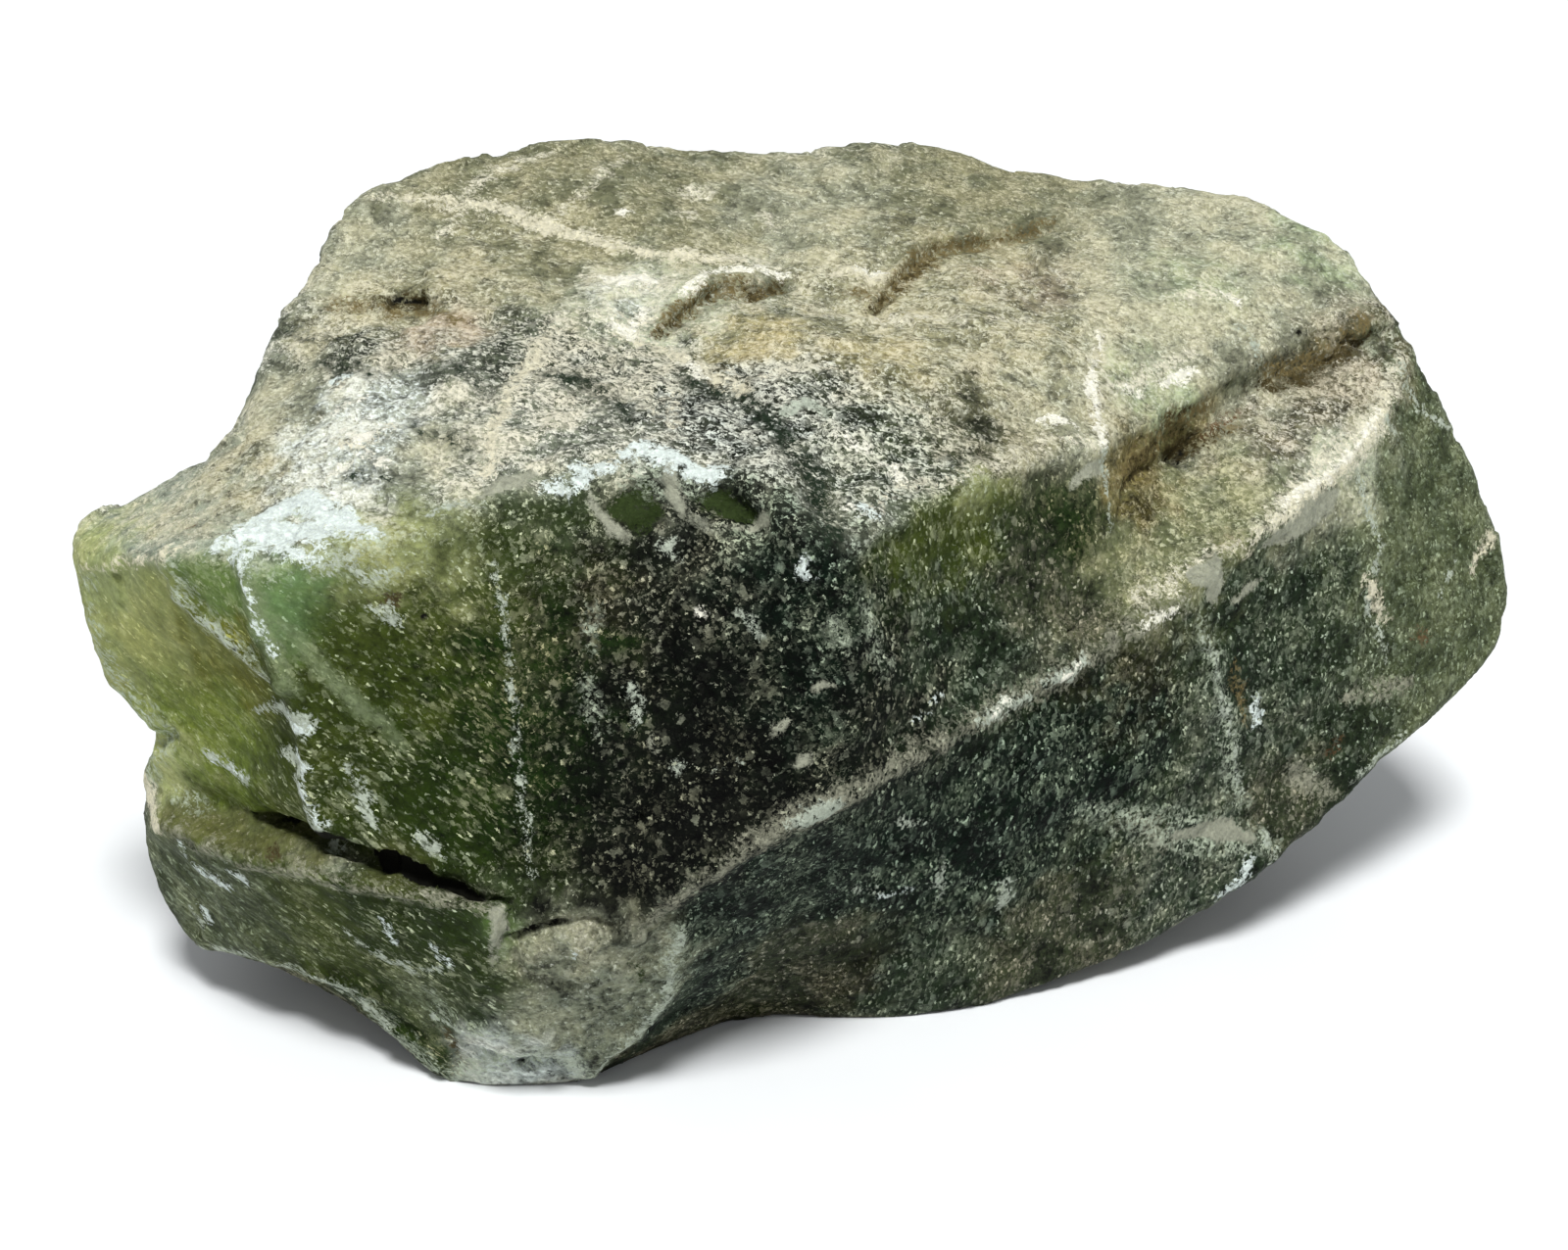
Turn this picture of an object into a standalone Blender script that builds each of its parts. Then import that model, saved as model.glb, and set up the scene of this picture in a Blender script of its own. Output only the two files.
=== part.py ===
"""A rough block of aventurine, as it broke from its vein, resting on the flat spot under its foot.

It is one solid. Each corner of its broken faces has a name. The corners that the photograph shows
are placed by the spot where they are seen and by how far back they lie. The hidden ones are placed
in millimetres. Faces that are named by their corners close the block. The block is then smoothed
between its sharp edges, roughened by chips, pits and lumps, and cut flat where it rests.
"""

import math

import bmesh
import bpy
from mathutils import Matrix, Vector, noise

# Driving dimensions, in metres: the stone's length, and how much is cut off flat under its foot
LENGTH = 0.1085
FLAT_CUT = 0.0005

# Fineness: the size of the cells that the roughness acts on, in metres, and the triangles kept
CELL = 0.0008
TRIANGLES = 9400

# Roughness of the broken faces: its sizes and heights in metres, and the share that the front lacks
LUMP_SIZE, LUMP_HEIGHT = 0.012, 0.00045
FACET_SIZE, FACET_HEIGHT = 0.0085, 0.00038
GRAIN_SIZE, GRAIN_HEIGHT = 0.0026, 0.00012
FRONT_CALM = 0.55

# The base stays smooth up to the first height, and the roughness is full from the second
SMOOTH_BELOW, ROUGH_ABOVE = 0.001, 0.005

# Finish
STONE_COLOUR = (0.155, 0.190, 0.105, 1.0)
STONE_ROUGHNESS = 0.55

# The photograph's view: its size in pixels, and its eye above and in front of the stone, in mm
PHOTO_WIDTH, PHOTO_HEIGHT = 1600, 1276
LENS, SENSOR = 60.0, 36.0
EYE_ANGLE = math.radians(28)
EYE_DISTANCE = 200.0
AIM_HEIGHT = 28.0

# Corners that are seen: pixels across, pixels down, and mm behind the middle of the stone
SEEN = {
    # Left tip
    "tip_back": (102, 522, -3),
    "tip_left": (76, 556, -8),
    "tip_edge": (170, 575, -17),
    "tip_low": (97, 665, -9),
    "tip_under": (110, 703, -9),
    "tip_face": (200, 690, -14.5),
    "notch": (158, 750, -12),
    "knob": (142, 800, -9),
    "block_left": (147, 860, -9),
    "block_low": (190, 960, -10),
    "block_low2": (250, 975, -14),
    "block_low3": (332, 992, -17.5),
    "block_front": (330, 940, -20.5),
    # Bruised corner and front rim, from the left
    "bruise_left": (220, 553, -17),
    "bruise_low": (262, 590, -21),
    "bruise_right": (372, 560, -21),
    "bruise_up": (330, 508, -14.5),
    "rim_a": (470, 535, -19),
    "rim_b": (560, 492, -16),
    "rim_c": (635, 462, -14),
    "rim_d": (720, 480, -16),
    "rim_e": (792, 506, -19),
    "nose": (848, 560, -22),
    "rim_f": (885, 545, -20),
    "rim_g": (960, 510, -15.5),
    "rim_h": (1040, 480, -10.5),
    "rim_end": (1112, 460, -6),
    # Front face
    "streak_a": (290, 672, -22),
    "streak_b": (312, 740, -22.5),
    "front_a": (470, 700, -22),
    "front_b": (650, 650, -20.5),
    "front_c": (620, 820, -24.5),
    # Front face's overhanging lower edge, then the ledge under it
    "over_left": (226, 808, -15),
    "over_a": (322, 836, -22),
    "over_b": (345, 858, -22.5),
    "over_c": (440, 893, -24.5),
    "over_end": (522, 917, -26),
    "root_left": (160, 797, -10),
    "root_a": (226, 812, -12),
    "root_b": (325, 840, -18.5),
    "root_c": (440, 897, -22.5),
    "ledge_left": (165, 848, -14),
    "ledge_a": (230, 866, -18),
    "ledge_b": (300, 885, -21.5),
    "ledge_c": (400, 905, -25),
    "ledge_end": (492, 927, -27),
    # Foot
    "foot_top": (600, 936, -27),
    "foot_plate": (600, 1010, -25.5),
    "foot_ridge": (684, 1000, -24),
    "foot_ridge_low": (648, 1045, -23),
    "foot_in_a": (505, 1000, -26),
    "foot_in_b": (516, 1034, -25),
    "foot_rise": (385, 1042, -19),
    "foot_rise2": (432, 1086, -20.5),
    # Vein that parts the front from the lower right face
    "vein_a": (700, 897, -27),
    "vein_b": (800, 850, -26),
    "vein_c": (900, 785, -21.5),
    "vein_d": (1000, 722, -16.8),
    "vein_e": (1092, 668, -11.8),
    "vein_f": (1160, 628, -8.5),
    "vein_g": (1240, 583, -5),
    "vein_h": (1290, 532, -3),
    "vein_i": (1370, 480, 3),
    "vein_j": (1425, 420, 8),
    "vein_end": (1440, 352, 12),
    # Nose and the arched face to its right
    "crest_nose": (790, 408, -7),
    "nose_up": (825, 480, -15),
    "nose_mid": (866, 640, -23),
    "nose_low": (845, 760, -24.5),
    "arch_a": (990, 600, -14.2),
    "arch_b": (910, 680, -20.5),
    # Crest behind the rim
    "crest_a": (642, 350, 2.5),
    "crest_b": (700, 388, -3),
    "crest_c": (880, 382, -4),
    "crest_d": (970, 398, -4),
    "crest_e": (1060, 432, -5),
    # Top, left of the step
    "top_a": (400, 430, -8),
    "top_b": (530, 385, -4),
    "top_c": (420, 300, 9),
    "top_d": (540, 325, 5),
    # Step across the top: its upper edge and its foot
    "step_up_a": (655, 333, 4.5),
    "step_up_b": (690, 300, 7),
    "step_up_c": (735, 283, 9.5),
    "step_up_d": (800, 284, 11),
    "step_up_e": (886, 298, 10),
    "step_up_f": (925, 262, 14),
    "step_up_g": (978, 240, 18),
    "step_up_h": (1082, 227, 21),
    "step_low_b": (702, 327, 6.6),
    "step_low_c": (738, 310, 9.1),
    "step_low_d": (803, 301, 10.7),
    "step_low_e": (898, 320, 9.5),
    "step_low_f": (943, 279, 13.7),
    "step_low_g": (990, 256, 17.7),
    # Light ridge, and the dome behind it
    "ridge_a": (385, 203, 22),
    "ridge_b": (500, 222, 20),
    "ridge_c": (600, 253, 16),
    "ridge_d": (700, 270, 13),
    "swell_a": (560, 270, 13),
    "swell_b": (612, 302, 8),
    "dome_a": (570, 195, 22),
    "dome_b": (760, 215, 21),
    "dome_c": (930, 203, 23),
    # Lower plate at the right of the top
    "plate_a": (830, 345, 1),
    "plate_b": (1020, 330, 5),
    "plate_c": (1190, 310, 10),
    "plate_d": (1150, 245, 18.5),
    "plate_e": (1300, 270, 15.5),
    # Notch at the right: its wall and its shelf
    "wall_a": (1180, 430, 0),
    "wall_b": (1225, 395, 3.5),
    "wall_c": (1262, 378, 6),
    "wall_d": (1300, 350, 8.5),
    "wall_e": (1400, 318, 12),
    "gap_low": (1114, 610, -9),
    "shelf_a": (1132, 525, -6),
    "shelf_b": (1190, 472, 1),
    "shelf_c": (1215, 452, 3.5),
    "shelf_d": (1252, 412, 6.5),
    "shelf_e": (1332, 380, 9.5),
    "shelf_f": (1412, 333, 12.5),
    "shelf_g": (1225, 520, -2),
    "shelf_h": (1345, 440, 4),
    # Lower right face
    "lower_a": (800, 960, -18.5),
    "lower_b": (1000, 880, -14.5),
    "lower_c": (1180, 780, -9),
    "lower_d": (1300, 680, -3.0),
    "under_a": (1300, 882, -3.5),
    "under_b": (1240, 926, -5),
    "under_c": (1170, 963, -7),
    "under_d": (1090, 995, -9.5),
    "under_e": (1020, 1022, -11),
    # Right end
    "end_a": (1478, 430, 12),
    "end_b": (1508, 500, 11),
    "end_c": (1527, 555, 10),
    "end_tip": (1537, 612, 9),
    "end_d": (1522, 665, 7.5),
    "end_e": (1490, 706, 5),
    "end_f": (1440, 746, 2),
    "end_g": (1400, 790, 0),
    "end_h": (1345, 838, -2),
    "end_face_a": (1405, 520, 3.5),
    "end_face_b": (1418, 640, 2),
    # Skyline, from the left
    "sky_a": (245, 447, -3),
    "sky_b": (262, 390, 3),
    "sky_c": (290, 325, 10),
    "sky_d": (322, 260, 16),
    "sky_e": (345, 225, 20),
    "sky_f": (400, 194, 24),
    "sky_g": (450, 166, 27),
    "sky_h": (520, 145, 29),
    "sky_i": (590, 138, 30),
    "sky_j": (680, 148, 31),
    "sky_k": (770, 160, 31),
    "sky_l": (880, 153, 32),
    "sky_m": (985, 153, 32),
    "sky_n": (1035, 172, 30),
    "sky_o": (1150, 183, 28),
    "sky_p": (1260, 195, 26),
    "sky_q": (1325, 222, 22),
    "sky_r": (1380, 265, 18),
    "sky_s": (1416, 322, 13),
}

# Corners that are seen where they touch the table: pixels across and pixels down
TOUCHING = {
    "base_a": (455, 1108),
    "base_b": (500, 1114),
    "base_c": (590, 1109),
    "base_d": (740, 1047),
    "base_e": (850, 1043),
    "base_f": (950, 1040),
}

# Corners that are hidden: mm to the right, behind and above the middle of the base
HIDDEN = {
    "left_a": (-47, 0, 32),
    "left_b": (-44, 0, 24),
    "left_c": (-46.5, 0, 16),
    "left_d": (-43, -1, 7),
    "left_e": (-41, 12, 36),
    "left_f": (-40, 16, 18),
    "left_g": (-31, 24, 7),
    "back_a": (-33, 31, 42),
    "back_b": (-24, 36, 22),
    "back_c": (-9, 40, 40),
    "back_d": (-2, 38, 14),
    "back_e": (18, 40, 38),
    "back_f": (22, 36, 18),
    "back_g": (38, 33, 40),
    "back_h": (42, 28, 22),
    "back_i": (53, 18, 28),
    "under_right": (38, 11, 7),
    "base_g": (20, 2, 0),
    "base_h": (16, 16, 0),
    "base_i": (4, 24, 0),
    "base_j": (-14, 22, 0),
    "base_k": (-27, 10, 0),
    "base_l": (-29, -8, 0),
}

# The broken faces, each as patches that run from corner to corner
FACES = {
    "top_left": """
        tip_left tip_edge bruise_left sky_a tip_back
        bruise_left bruise_low bruise_right bruise_up
        sky_a bruise_left bruise_up top_a sky_b
        bruise_up bruise_right rim_a top_a
        rim_a rim_b top_b top_a
        rim_b rim_c crest_b crest_a top_b
        rim_c rim_d crest_b
        sky_b top_a top_c sky_c
        top_a top_b top_d top_c
        top_b crest_a step_up_a swell_b top_d
        top_c top_d swell_b swell_a
        sky_c top_c swell_a ridge_b ridge_a sky_e sky_d
        swell_a ridge_b ridge_c swell_b
        swell_b ridge_c ridge_d step_up_b step_up_a
        ridge_d step_up_d step_up_c step_up_b
    """,
    "step": """
        step_up_a step_up_b step_low_b crest_a
        step_up_b step_up_c step_low_c step_low_b
        step_up_c step_up_d step_low_d step_low_c
        step_up_d step_up_e step_low_e step_low_d
        step_up_e step_up_f step_low_f step_low_e
        step_up_f step_up_g step_low_g step_low_f
        step_up_g step_up_h step_low_g
    """,
    "dome": """
        sky_e ridge_a sky_f
        sky_g sky_f ridge_a ridge_b dome_a
        sky_g dome_a sky_i sky_h
        dome_a ridge_b ridge_c ridge_d
        dome_a ridge_d dome_b
        dome_a dome_b sky_k sky_j sky_i
        dome_b ridge_d step_up_d step_up_e
        dome_b step_up_e step_up_f dome_c
        dome_b dome_c sky_l sky_k
        dome_c step_up_f step_up_g step_up_h sky_n
        dome_c sky_n sky_m sky_l
        step_up_h sky_o sky_n
    """,
    "plate": """
        crest_a crest_b step_low_b
        crest_b plate_a step_low_d step_low_c step_low_b
        crest_b crest_nose crest_c plate_a
        plate_a step_low_e step_low_d
        plate_a crest_c crest_d plate_b
        plate_a plate_b step_low_f step_low_e
        plate_b crest_d crest_e plate_c
        crest_e rim_end wall_a wall_b plate_c
        plate_c wall_b wall_c wall_d
        plate_b plate_c plate_d step_low_g step_low_f
        plate_d step_up_h step_low_g
        plate_d sky_o step_up_h
        plate_c plate_e plate_d
        plate_c wall_d plate_e
        wall_d wall_e sky_s sky_r plate_e
        plate_e sky_r sky_q
        plate_e sky_q sky_p plate_d
        plate_d sky_p sky_o
    """,
    "bevel": """
        crest_nose nose_up nose rim_f crest_c
        crest_c rim_f rim_g crest_d
        crest_d rim_g rim_h crest_e
        crest_e rim_h rim_end
        crest_b crest_nose nose_up
        crest_b rim_d rim_e nose_up
        nose_up rim_e nose
    """,
    "left_end": """
        tip_left tip_edge tip_face tip_low
        tip_edge streak_a streak_b tip_face
        tip_face streak_b over_a over_left
        tip_face over_left notch tip_under
        tip_face tip_under tip_low
        tip_edge bruise_left bruise_low streak_a
    """,
    "front": """
        bruise_low bruise_right front_a streak_a
        bruise_right rim_a front_a
        rim_a rim_b front_b front_a
        rim_b rim_c rim_d front_b
        rim_d rim_e nose front_b
        nose nose_mid front_b
        front_b nose_mid nose_low front_c
        nose_low vein_b vein_a front_c
        front_a front_b front_c
        streak_a front_a over_b over_a streak_b
        front_a front_c over_c over_b
        front_c foot_top over_end over_c
        front_c vein_a foot_top
    """,
    "arch": """
        nose rim_f arch_b nose_mid
        rim_f rim_g arch_a arch_b
        rim_g rim_h arch_a
        rim_h rim_end shelf_a gap_low arch_a
        arch_a gap_low vein_e vein_d
        arch_a vein_d vein_c arch_b
        arch_b vein_c vein_b nose_low nose_mid
    """,
    "notch_wall": """
        rim_end wall_a shelf_b shelf_a
        wall_a wall_b shelf_c shelf_b
        wall_b wall_c shelf_d shelf_c
        wall_c wall_d shelf_e shelf_d
        wall_d wall_e shelf_f shelf_e
        wall_e sky_s vein_end shelf_f
    """,
    "shelf": """
        gap_low shelf_a shelf_b shelf_g
        vein_e gap_low shelf_g vein_f
        vein_f shelf_g vein_g
        shelf_g vein_h vein_g
        shelf_b shelf_c shelf_d shelf_g
        shelf_g shelf_d shelf_e shelf_h
        shelf_g shelf_h vein_i vein_h
        shelf_h shelf_e shelf_f vein_end vein_j
        shelf_h vein_j vein_i
    """,
    "lower_right": """
        vein_a vein_b lower_a foot_ridge
        foot_ridge lower_a base_d foot_ridge_low
        foot_ridge_low base_d base_c
        lower_a base_e base_d
        lower_a vein_b vein_c lower_b
        lower_a lower_b base_f base_e
        lower_b under_e base_f
        lower_b vein_c vein_d lower_c
        lower_b lower_c under_c under_d under_e
        lower_c vein_d vein_e vein_f lower_d
        lower_d vein_f vein_g vein_h end_face_a
        lower_d end_face_a end_face_b
        lower_c lower_d end_face_b end_h under_a under_b under_c
        vein_h vein_i vein_j end_face_a
    """,
    "right_end": """
        vein_j vein_end end_a end_face_a
        end_face_a end_a end_b end_c end_face_b
        end_face_b end_c end_tip end_d end_e
        end_face_b end_e end_f end_g end_h
    """,
    "ledge": """
        root_left ledge_left ledge_a root_a
        root_a ledge_a ledge_b root_b
        root_b ledge_b ledge_c root_c
        root_c ledge_c ledge_end over_end
        ledge_end over_end foot_top foot_in_a
    """,
    "undercut": """
        root_left root_a over_left
        over_left root_a root_b over_a
        over_a root_b over_b
        over_b root_b root_c over_c
        over_c root_c over_end
    """,
    "lower_block": """
        notch over_left root_left knob
        knob root_left ledge_left block_left
        ledge_left ledge_a ledge_b block_front block_low block_left
        block_low block_front block_low3 block_low2
        ledge_b ledge_c ledge_end foot_in_a block_front
        block_front foot_in_a foot_in_b block_low3
    """,
    "foot": """
        block_low3 foot_in_b base_b base_a foot_rise2 foot_rise
        foot_in_a foot_top foot_plate
        foot_top vein_a foot_ridge foot_plate
        foot_plate foot_ridge foot_ridge_low base_c
        foot_plate base_c base_b foot_in_b
        foot_in_a foot_plate foot_in_b
    """,
    "left_wall": """
        tip_left tip_low left_a tip_back
        tip_back left_a left_e sky_b sky_a
        tip_low tip_under left_b left_a
        tip_under notch left_b
        notch knob left_c left_b
        knob block_left left_c
        block_left block_low left_d left_c
        block_low block_low2 base_l left_d
        block_low2 block_low3 foot_rise foot_rise2 base_a base_l
        left_a left_b left_f left_e
        left_b left_c left_f
        left_c left_d left_f
        left_e left_f back_b back_a
        sky_b sky_c sky_d sky_e back_a left_e
    """,
    "back": """
        left_f left_g back_b
        base_k base_j left_g
        left_g base_j back_d back_b
        base_j base_i back_d
        sky_e sky_f sky_g back_a
        sky_g sky_h sky_i back_c back_a
        sky_i sky_j sky_k back_c
        sky_k sky_l back_e back_c
        sky_l sky_m sky_n back_e
        sky_n sky_o back_e
        sky_o sky_p back_g back_e
        sky_p sky_q back_g
        sky_q sky_r back_g
        sky_r sky_s vein_end end_a back_i back_g
        end_a end_b end_c end_tip back_i
        back_a back_c back_d back_b
        back_c back_e back_f back_d
        back_e back_g back_h back_f
        back_g back_i back_h
    """,
    "underside": """
        left_d base_l base_k
        left_d base_k left_g left_f
        back_d back_f base_h base_i
        back_f back_h under_right base_h
        base_h under_right base_g
        back_i end_tip end_d back_h
        back_h end_d end_e under_right
        end_e end_f end_g under_right
        end_g end_h under_a under_right
        under_a under_b under_c base_g under_right
        under_c under_d under_e base_g
        under_e base_f base_g
        base_a base_b base_c base_d base_e base_f base_g base_h base_i base_j base_k base_l
    """,
}

# Edges that stay sharp: how sharp, from 0 to 1, and the corners that they run through
SHARP = {
    "front_rim": (0.8, "tip_left tip_edge bruise_left bruise_low bruise_right rim_a rim_b rim_c rim_d"
                       " rim_e nose rim_f rim_g rim_h rim_end"),
    "tip": (0.8, "sky_a tip_back tip_left tip_low tip_under notch knob block_left block_low"),
    "tip_streak": (0.8, "bruise_low streak_a streak_b over_a"),
    "overhang": (1.0, "notch over_left over_a over_b over_c over_end foot_top vein_a"),
    "undercut": (1.0, "knob root_left root_a root_b root_c over_end"),
    "ledge": (1.0, "block_left ledge_left ledge_a ledge_b ledge_c ledge_end foot_in_a foot_in_b"),
    "block_edge": (0.8, "block_low block_low2 block_low3 foot_rise foot_rise2 base_a"),
    "block_foot": (0.8, "block_low3 foot_in_b base_b"),
    "foot": (0.9, "vein_a foot_ridge foot_ridge_low base_c"),
    "base": (1.0, "base_a base_b base_c base_d base_e base_f base_g base_h base_i base_j base_k"
                  " base_l base_a"),
    "vein": (0.9, "vein_a vein_b vein_c vein_d vein_e vein_f vein_g vein_h vein_i vein_j vein_end"),
    "nose": (0.8, "crest_nose nose_up nose nose_mid nose_low vein_b"),
    "crest": (0.6, "crest_b crest_nose crest_c crest_d crest_e rim_end"),
    "step_top": (1.0, "step_up_a step_up_b step_up_c step_up_d step_up_e step_up_f step_up_g step_up_h"),
    "step_foot": (1.0, "crest_a step_low_b step_low_c step_low_d step_low_e step_low_f step_low_g"
                       " step_up_h"),
    "notch_top": (1.0, "rim_end wall_a wall_b wall_c wall_d wall_e sky_s"),
    "notch_foot": (1.0, "rim_end shelf_a shelf_b shelf_c shelf_d shelf_e shelf_f vein_end"),
    "gap": (0.9, "shelf_a gap_low vein_e"),
    "ridge": (0.5, "ridge_a ridge_b ridge_c ridge_d step_up_d"),
    "skyline": (0.6, "sky_a sky_b sky_c sky_d sky_e sky_f sky_g sky_h sky_i sky_j sky_k sky_l sky_m"
                     " sky_n sky_o sky_p sky_q sky_r sky_s vein_end end_a end_b end_c end_tip"),
    "end_under": (0.7, "end_tip end_d end_e end_f end_g end_h under_a under_b under_c under_d under_e"
                       " base_f"),
    "end_edge": (0.4, "vein_j end_face_a end_face_b end_h"),
    "back_ribs": (0.95, "sky_e back_a back_b left_g base_k"),
    "back_rib": (0.95, "sky_l back_e back_f base_h"),
    "back_right": (0.95, "sky_p back_g back_h under_right"),
    "back_middle": (0.85, "left_e back_a back_c back_e back_g back_i"),
}

# Hollows knocked out of edges and faces, each as a ball pressed in: the pixels across and down, the
# mm behind the middle, and the ball's radius in mm
CHIPS = {
    "rim_left": (655, 496, -19.5, 4.2),
    "rim_right": (745, 508, -21.0, 4.3),
    "top_pit": (412, 300, 6.0, 3.0),
    "notch_pit": (1212, 455, 1.6, 2.0),
    "foot_chip": (512, 948, -28.3, 2.2),
    "lower_flake": (1024, 912, -17.2, 2.2),
}

MM = 0.001
SMOOTH_LEVELS = 3
FITTING_ROUNDS = 4
WAVE_RATE, WAVE_STRENGTH = 0.7, 0.5
TILT_RATE = 7.3
CLEAR_OF_CUT = 0.0002


def along_sight(across, down):
    """The direction, in mm, in which a spot of the photograph is seen."""
    focal = LENS / SENSOR * PHOTO_WIDTH
    right = across - PHOTO_WIDTH / 2
    up = PHOTO_HEIGHT / 2 - down
    cos, sin = math.cos(EYE_ANGLE), math.sin(EYE_ANGLE)
    return Vector((right, focal * cos + up * sin, up * cos - focal * sin))


def eye():
    """The photograph's eye, in mm."""
    return Vector((0, -EYE_DISTANCE * math.cos(EYE_ANGLE), AIM_HEIGHT + EYE_DISTANCE * math.sin(EYE_ANGLE)))


def seen_at(across, down, behind):
    """The point at a spot of the photograph that lies a given way behind the middle."""
    sight = along_sight(across, down)
    return eye() + sight * ((behind - eye().y) / sight.y)


def seen_on_table(across, down):
    """The point on the table at a spot of the photograph."""
    sight = along_sight(across, down)
    return eye() + sight * (-eye().z / sight.z)


def corners():
    """Every named corner, in mm."""
    places = {name: seen_at(*spot) for name, spot in SEEN.items()}
    places.update({name: seen_on_table(*spot) for name, spot in TOUCHING.items()})
    places.update({name: Vector(place) for name, place in HIDDEN.items()})
    return places


def cage_mesh(places):
    """The closed block of flat patches, with its sharp edges marked."""
    bm = bmesh.new()
    verts = {name: bm.verts.new(place * MM) for name, place in places.items()}
    for patches in FACES.values():
        for patch in patches.strip().splitlines():
            bm.faces.new([verts[name] for name in patch.split()])
    crease = bm.edges.layers.float.new("crease_edge")
    for sharpness, path in SHARP.values():
        names = path.split()
        for start, end in zip(names, names[1:]):
            bm.edges.get((verts[start], verts[end]))[crease] = sharpness
    bmesh.ops.recalc_face_normals(bm, faces=bm.faces)
    mesh = bpy.data.meshes.new("cage")
    bm.to_mesh(mesh)
    bm.free()
    return mesh


def evaluated(stone):
    """A copy of the mesh as its modifiers leave it."""
    graph = bpy.context.evaluated_depsgraph_get()
    return bpy.data.meshes.new_from_object(stone.evaluated_get(graph), depsgraph=graph)


def apply_modifiers(stone):
    """Keep what the modifiers made."""
    mesh = evaluated(stone)
    stone.modifiers.clear()
    stone.data = mesh


def smooth_between_edges(stone):
    """Round the patches into each other, and pull the cage until they pass through its corners."""
    smooth = stone.modifiers.new("smooth", "SUBSURF")
    smooth.levels = smooth.render_levels = SMOOTH_LEVELS
    cage = stone.data
    targets = [vert.co.copy() for vert in cage.vertices]
    for _ in range(FITTING_ROUNDS):
        shape = evaluated(stone)
        for vert, target in zip(cage.vertices, targets):
            vert.co += target - shape.vertices[vert.index].co
        bpy.data.meshes.remove(shape)
    apply_modifiers(stone)


def even_out(stone):
    """Cells of one size all over, for the roughness to act on."""
    cells = stone.modifiers.new("cells", "REMESH")
    cells.mode = "VOXEL"
    cells.voxel_size = CELL
    apply_modifiers(stone)


def lump(point):
    """Broad swells and hollows."""
    return noise.fractal(point / LUMP_SIZE, 1.0, 2.0, 3) * LUMP_HEIGHT


def facet(point):
    """Small flat fractures with wavy outlines, each tilted its own way."""
    place = point / FACET_SIZE
    spots = [place.yzx * WAVE_RATE, place.zxy * WAVE_RATE, place * WAVE_RATE]
    place += Vector([noise.noise(spot) for spot in spots]) * WAVE_STRENGTH
    centre = noise.voronoi(place)[1][0]
    tilt = noise.cell_vector(centre * TILT_RATE) * 2 - Vector((1, 1, 1))
    return tilt.dot(place - centre) * FACET_HEIGHT


def grain(point):
    """Fine unevenness."""
    return noise.noise(point / GRAIN_SIZE) * GRAIN_HEIGHT


def share_of_roughness(vert):
    """Less on the front, and none near the base."""
    front = max(0.0, -vert.normal.y)
    raised = (vert.co.z - SMOOTH_BELOW) / (ROUGH_ABOVE - SMOOTH_BELOW)
    return (1 - FRONT_CALM * front) * min(1.0, max(0.0, raised))


def roughen(stone):
    """Move the surface in and out along its normals."""
    moves = []
    for vert in stone.data.vertices:
        height = lump(vert.co) + facet(vert.co) + grain(vert.co)
        moves.append(vert.normal * (height * share_of_roughness(vert)))
    for vert, move in zip(stone.data.vertices, moves):
        vert.co += move


def knock_out_chips(stone):
    """Press a ball into the surface at each chip."""
    for across, down, behind, radius in CHIPS.values():
        centre = seen_at(across, down, behind) * MM
        reach = radius * MM
        for vert in stone.data.vertices:
            away = vert.co - centre
            if away.length < reach:
                vert.co = centre + away.normalized() * reach


def thin_out(stone):
    """Fewer triangles where the surface is plain."""
    stone.data.calc_loop_triangles()
    thin = stone.modifiers.new("thin", "DECIMATE")
    thin.ratio = TRIANGLES / len(stone.data.loop_triangles)
    thin.use_collapse_triangulate = True
    apply_modifiers(stone)


def cut_flat(stone):
    """Cut the underside flat where the stone rests."""
    bm = bmesh.new()
    bm.from_mesh(stone.data)
    for vert in bm.verts:
        if abs(vert.co.z - FLAT_CUT) < CLEAR_OF_CUT:
            vert.co.z = FLAT_CUT - CLEAR_OF_CUT
    everything = bm.verts[:] + bm.edges[:] + bm.faces[:]
    cut = bmesh.ops.bisect_plane(bm, geom=everything, plane_co=(0, 0, FLAT_CUT), plane_no=(0, 0, 1),
                                 clear_inner=True)
    rim = [item for item in cut["geom_cut"] if isinstance(item, bmesh.types.BMEdge)]
    bmesh.ops.contextual_create(bm, geom=rim)
    bmesh.ops.triangulate(bm, faces=[face for face in bm.faces if len(face.verts) > 3])
    bmesh.ops.recalc_face_normals(bm, faces=bm.faces)
    bm.to_mesh(stone.data)
    bm.free()


def settle(stone):
    """Bring the stone to its length, with its origin at the bottom centre of its box."""
    mesh = stone.data
    xs = [vert.co.x for vert in mesh.vertices]
    ys = [vert.co.y for vert in mesh.vertices]
    zs = [vert.co.z for vert in mesh.vertices]
    middle = Vector(((min(xs) + max(xs)) / 2, (min(ys) + max(ys)) / 2, min(zs)))
    scale = LENGTH / (max(xs) - min(xs))
    mesh.transform(Matrix.Scale(scale, 4) @ Matrix.Translation(-middle))


def stone_material():
    """Green stone, between dull and waxy."""
    material = bpy.data.materials.new("stone")
    material.use_nodes = True
    shader = material.node_tree.nodes["Principled BSDF"]
    shader.inputs["Base Color"].default_value = STONE_COLOUR
    shader.inputs["Roughness"].default_value = STONE_ROUGHNESS
    shader.inputs["Metallic"].default_value = 0.0
    return material


def clear_scene():
    """Start from nothing."""
    for thing in list(bpy.data.objects):
        bpy.data.objects.remove(thing, do_unlink=True)


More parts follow.
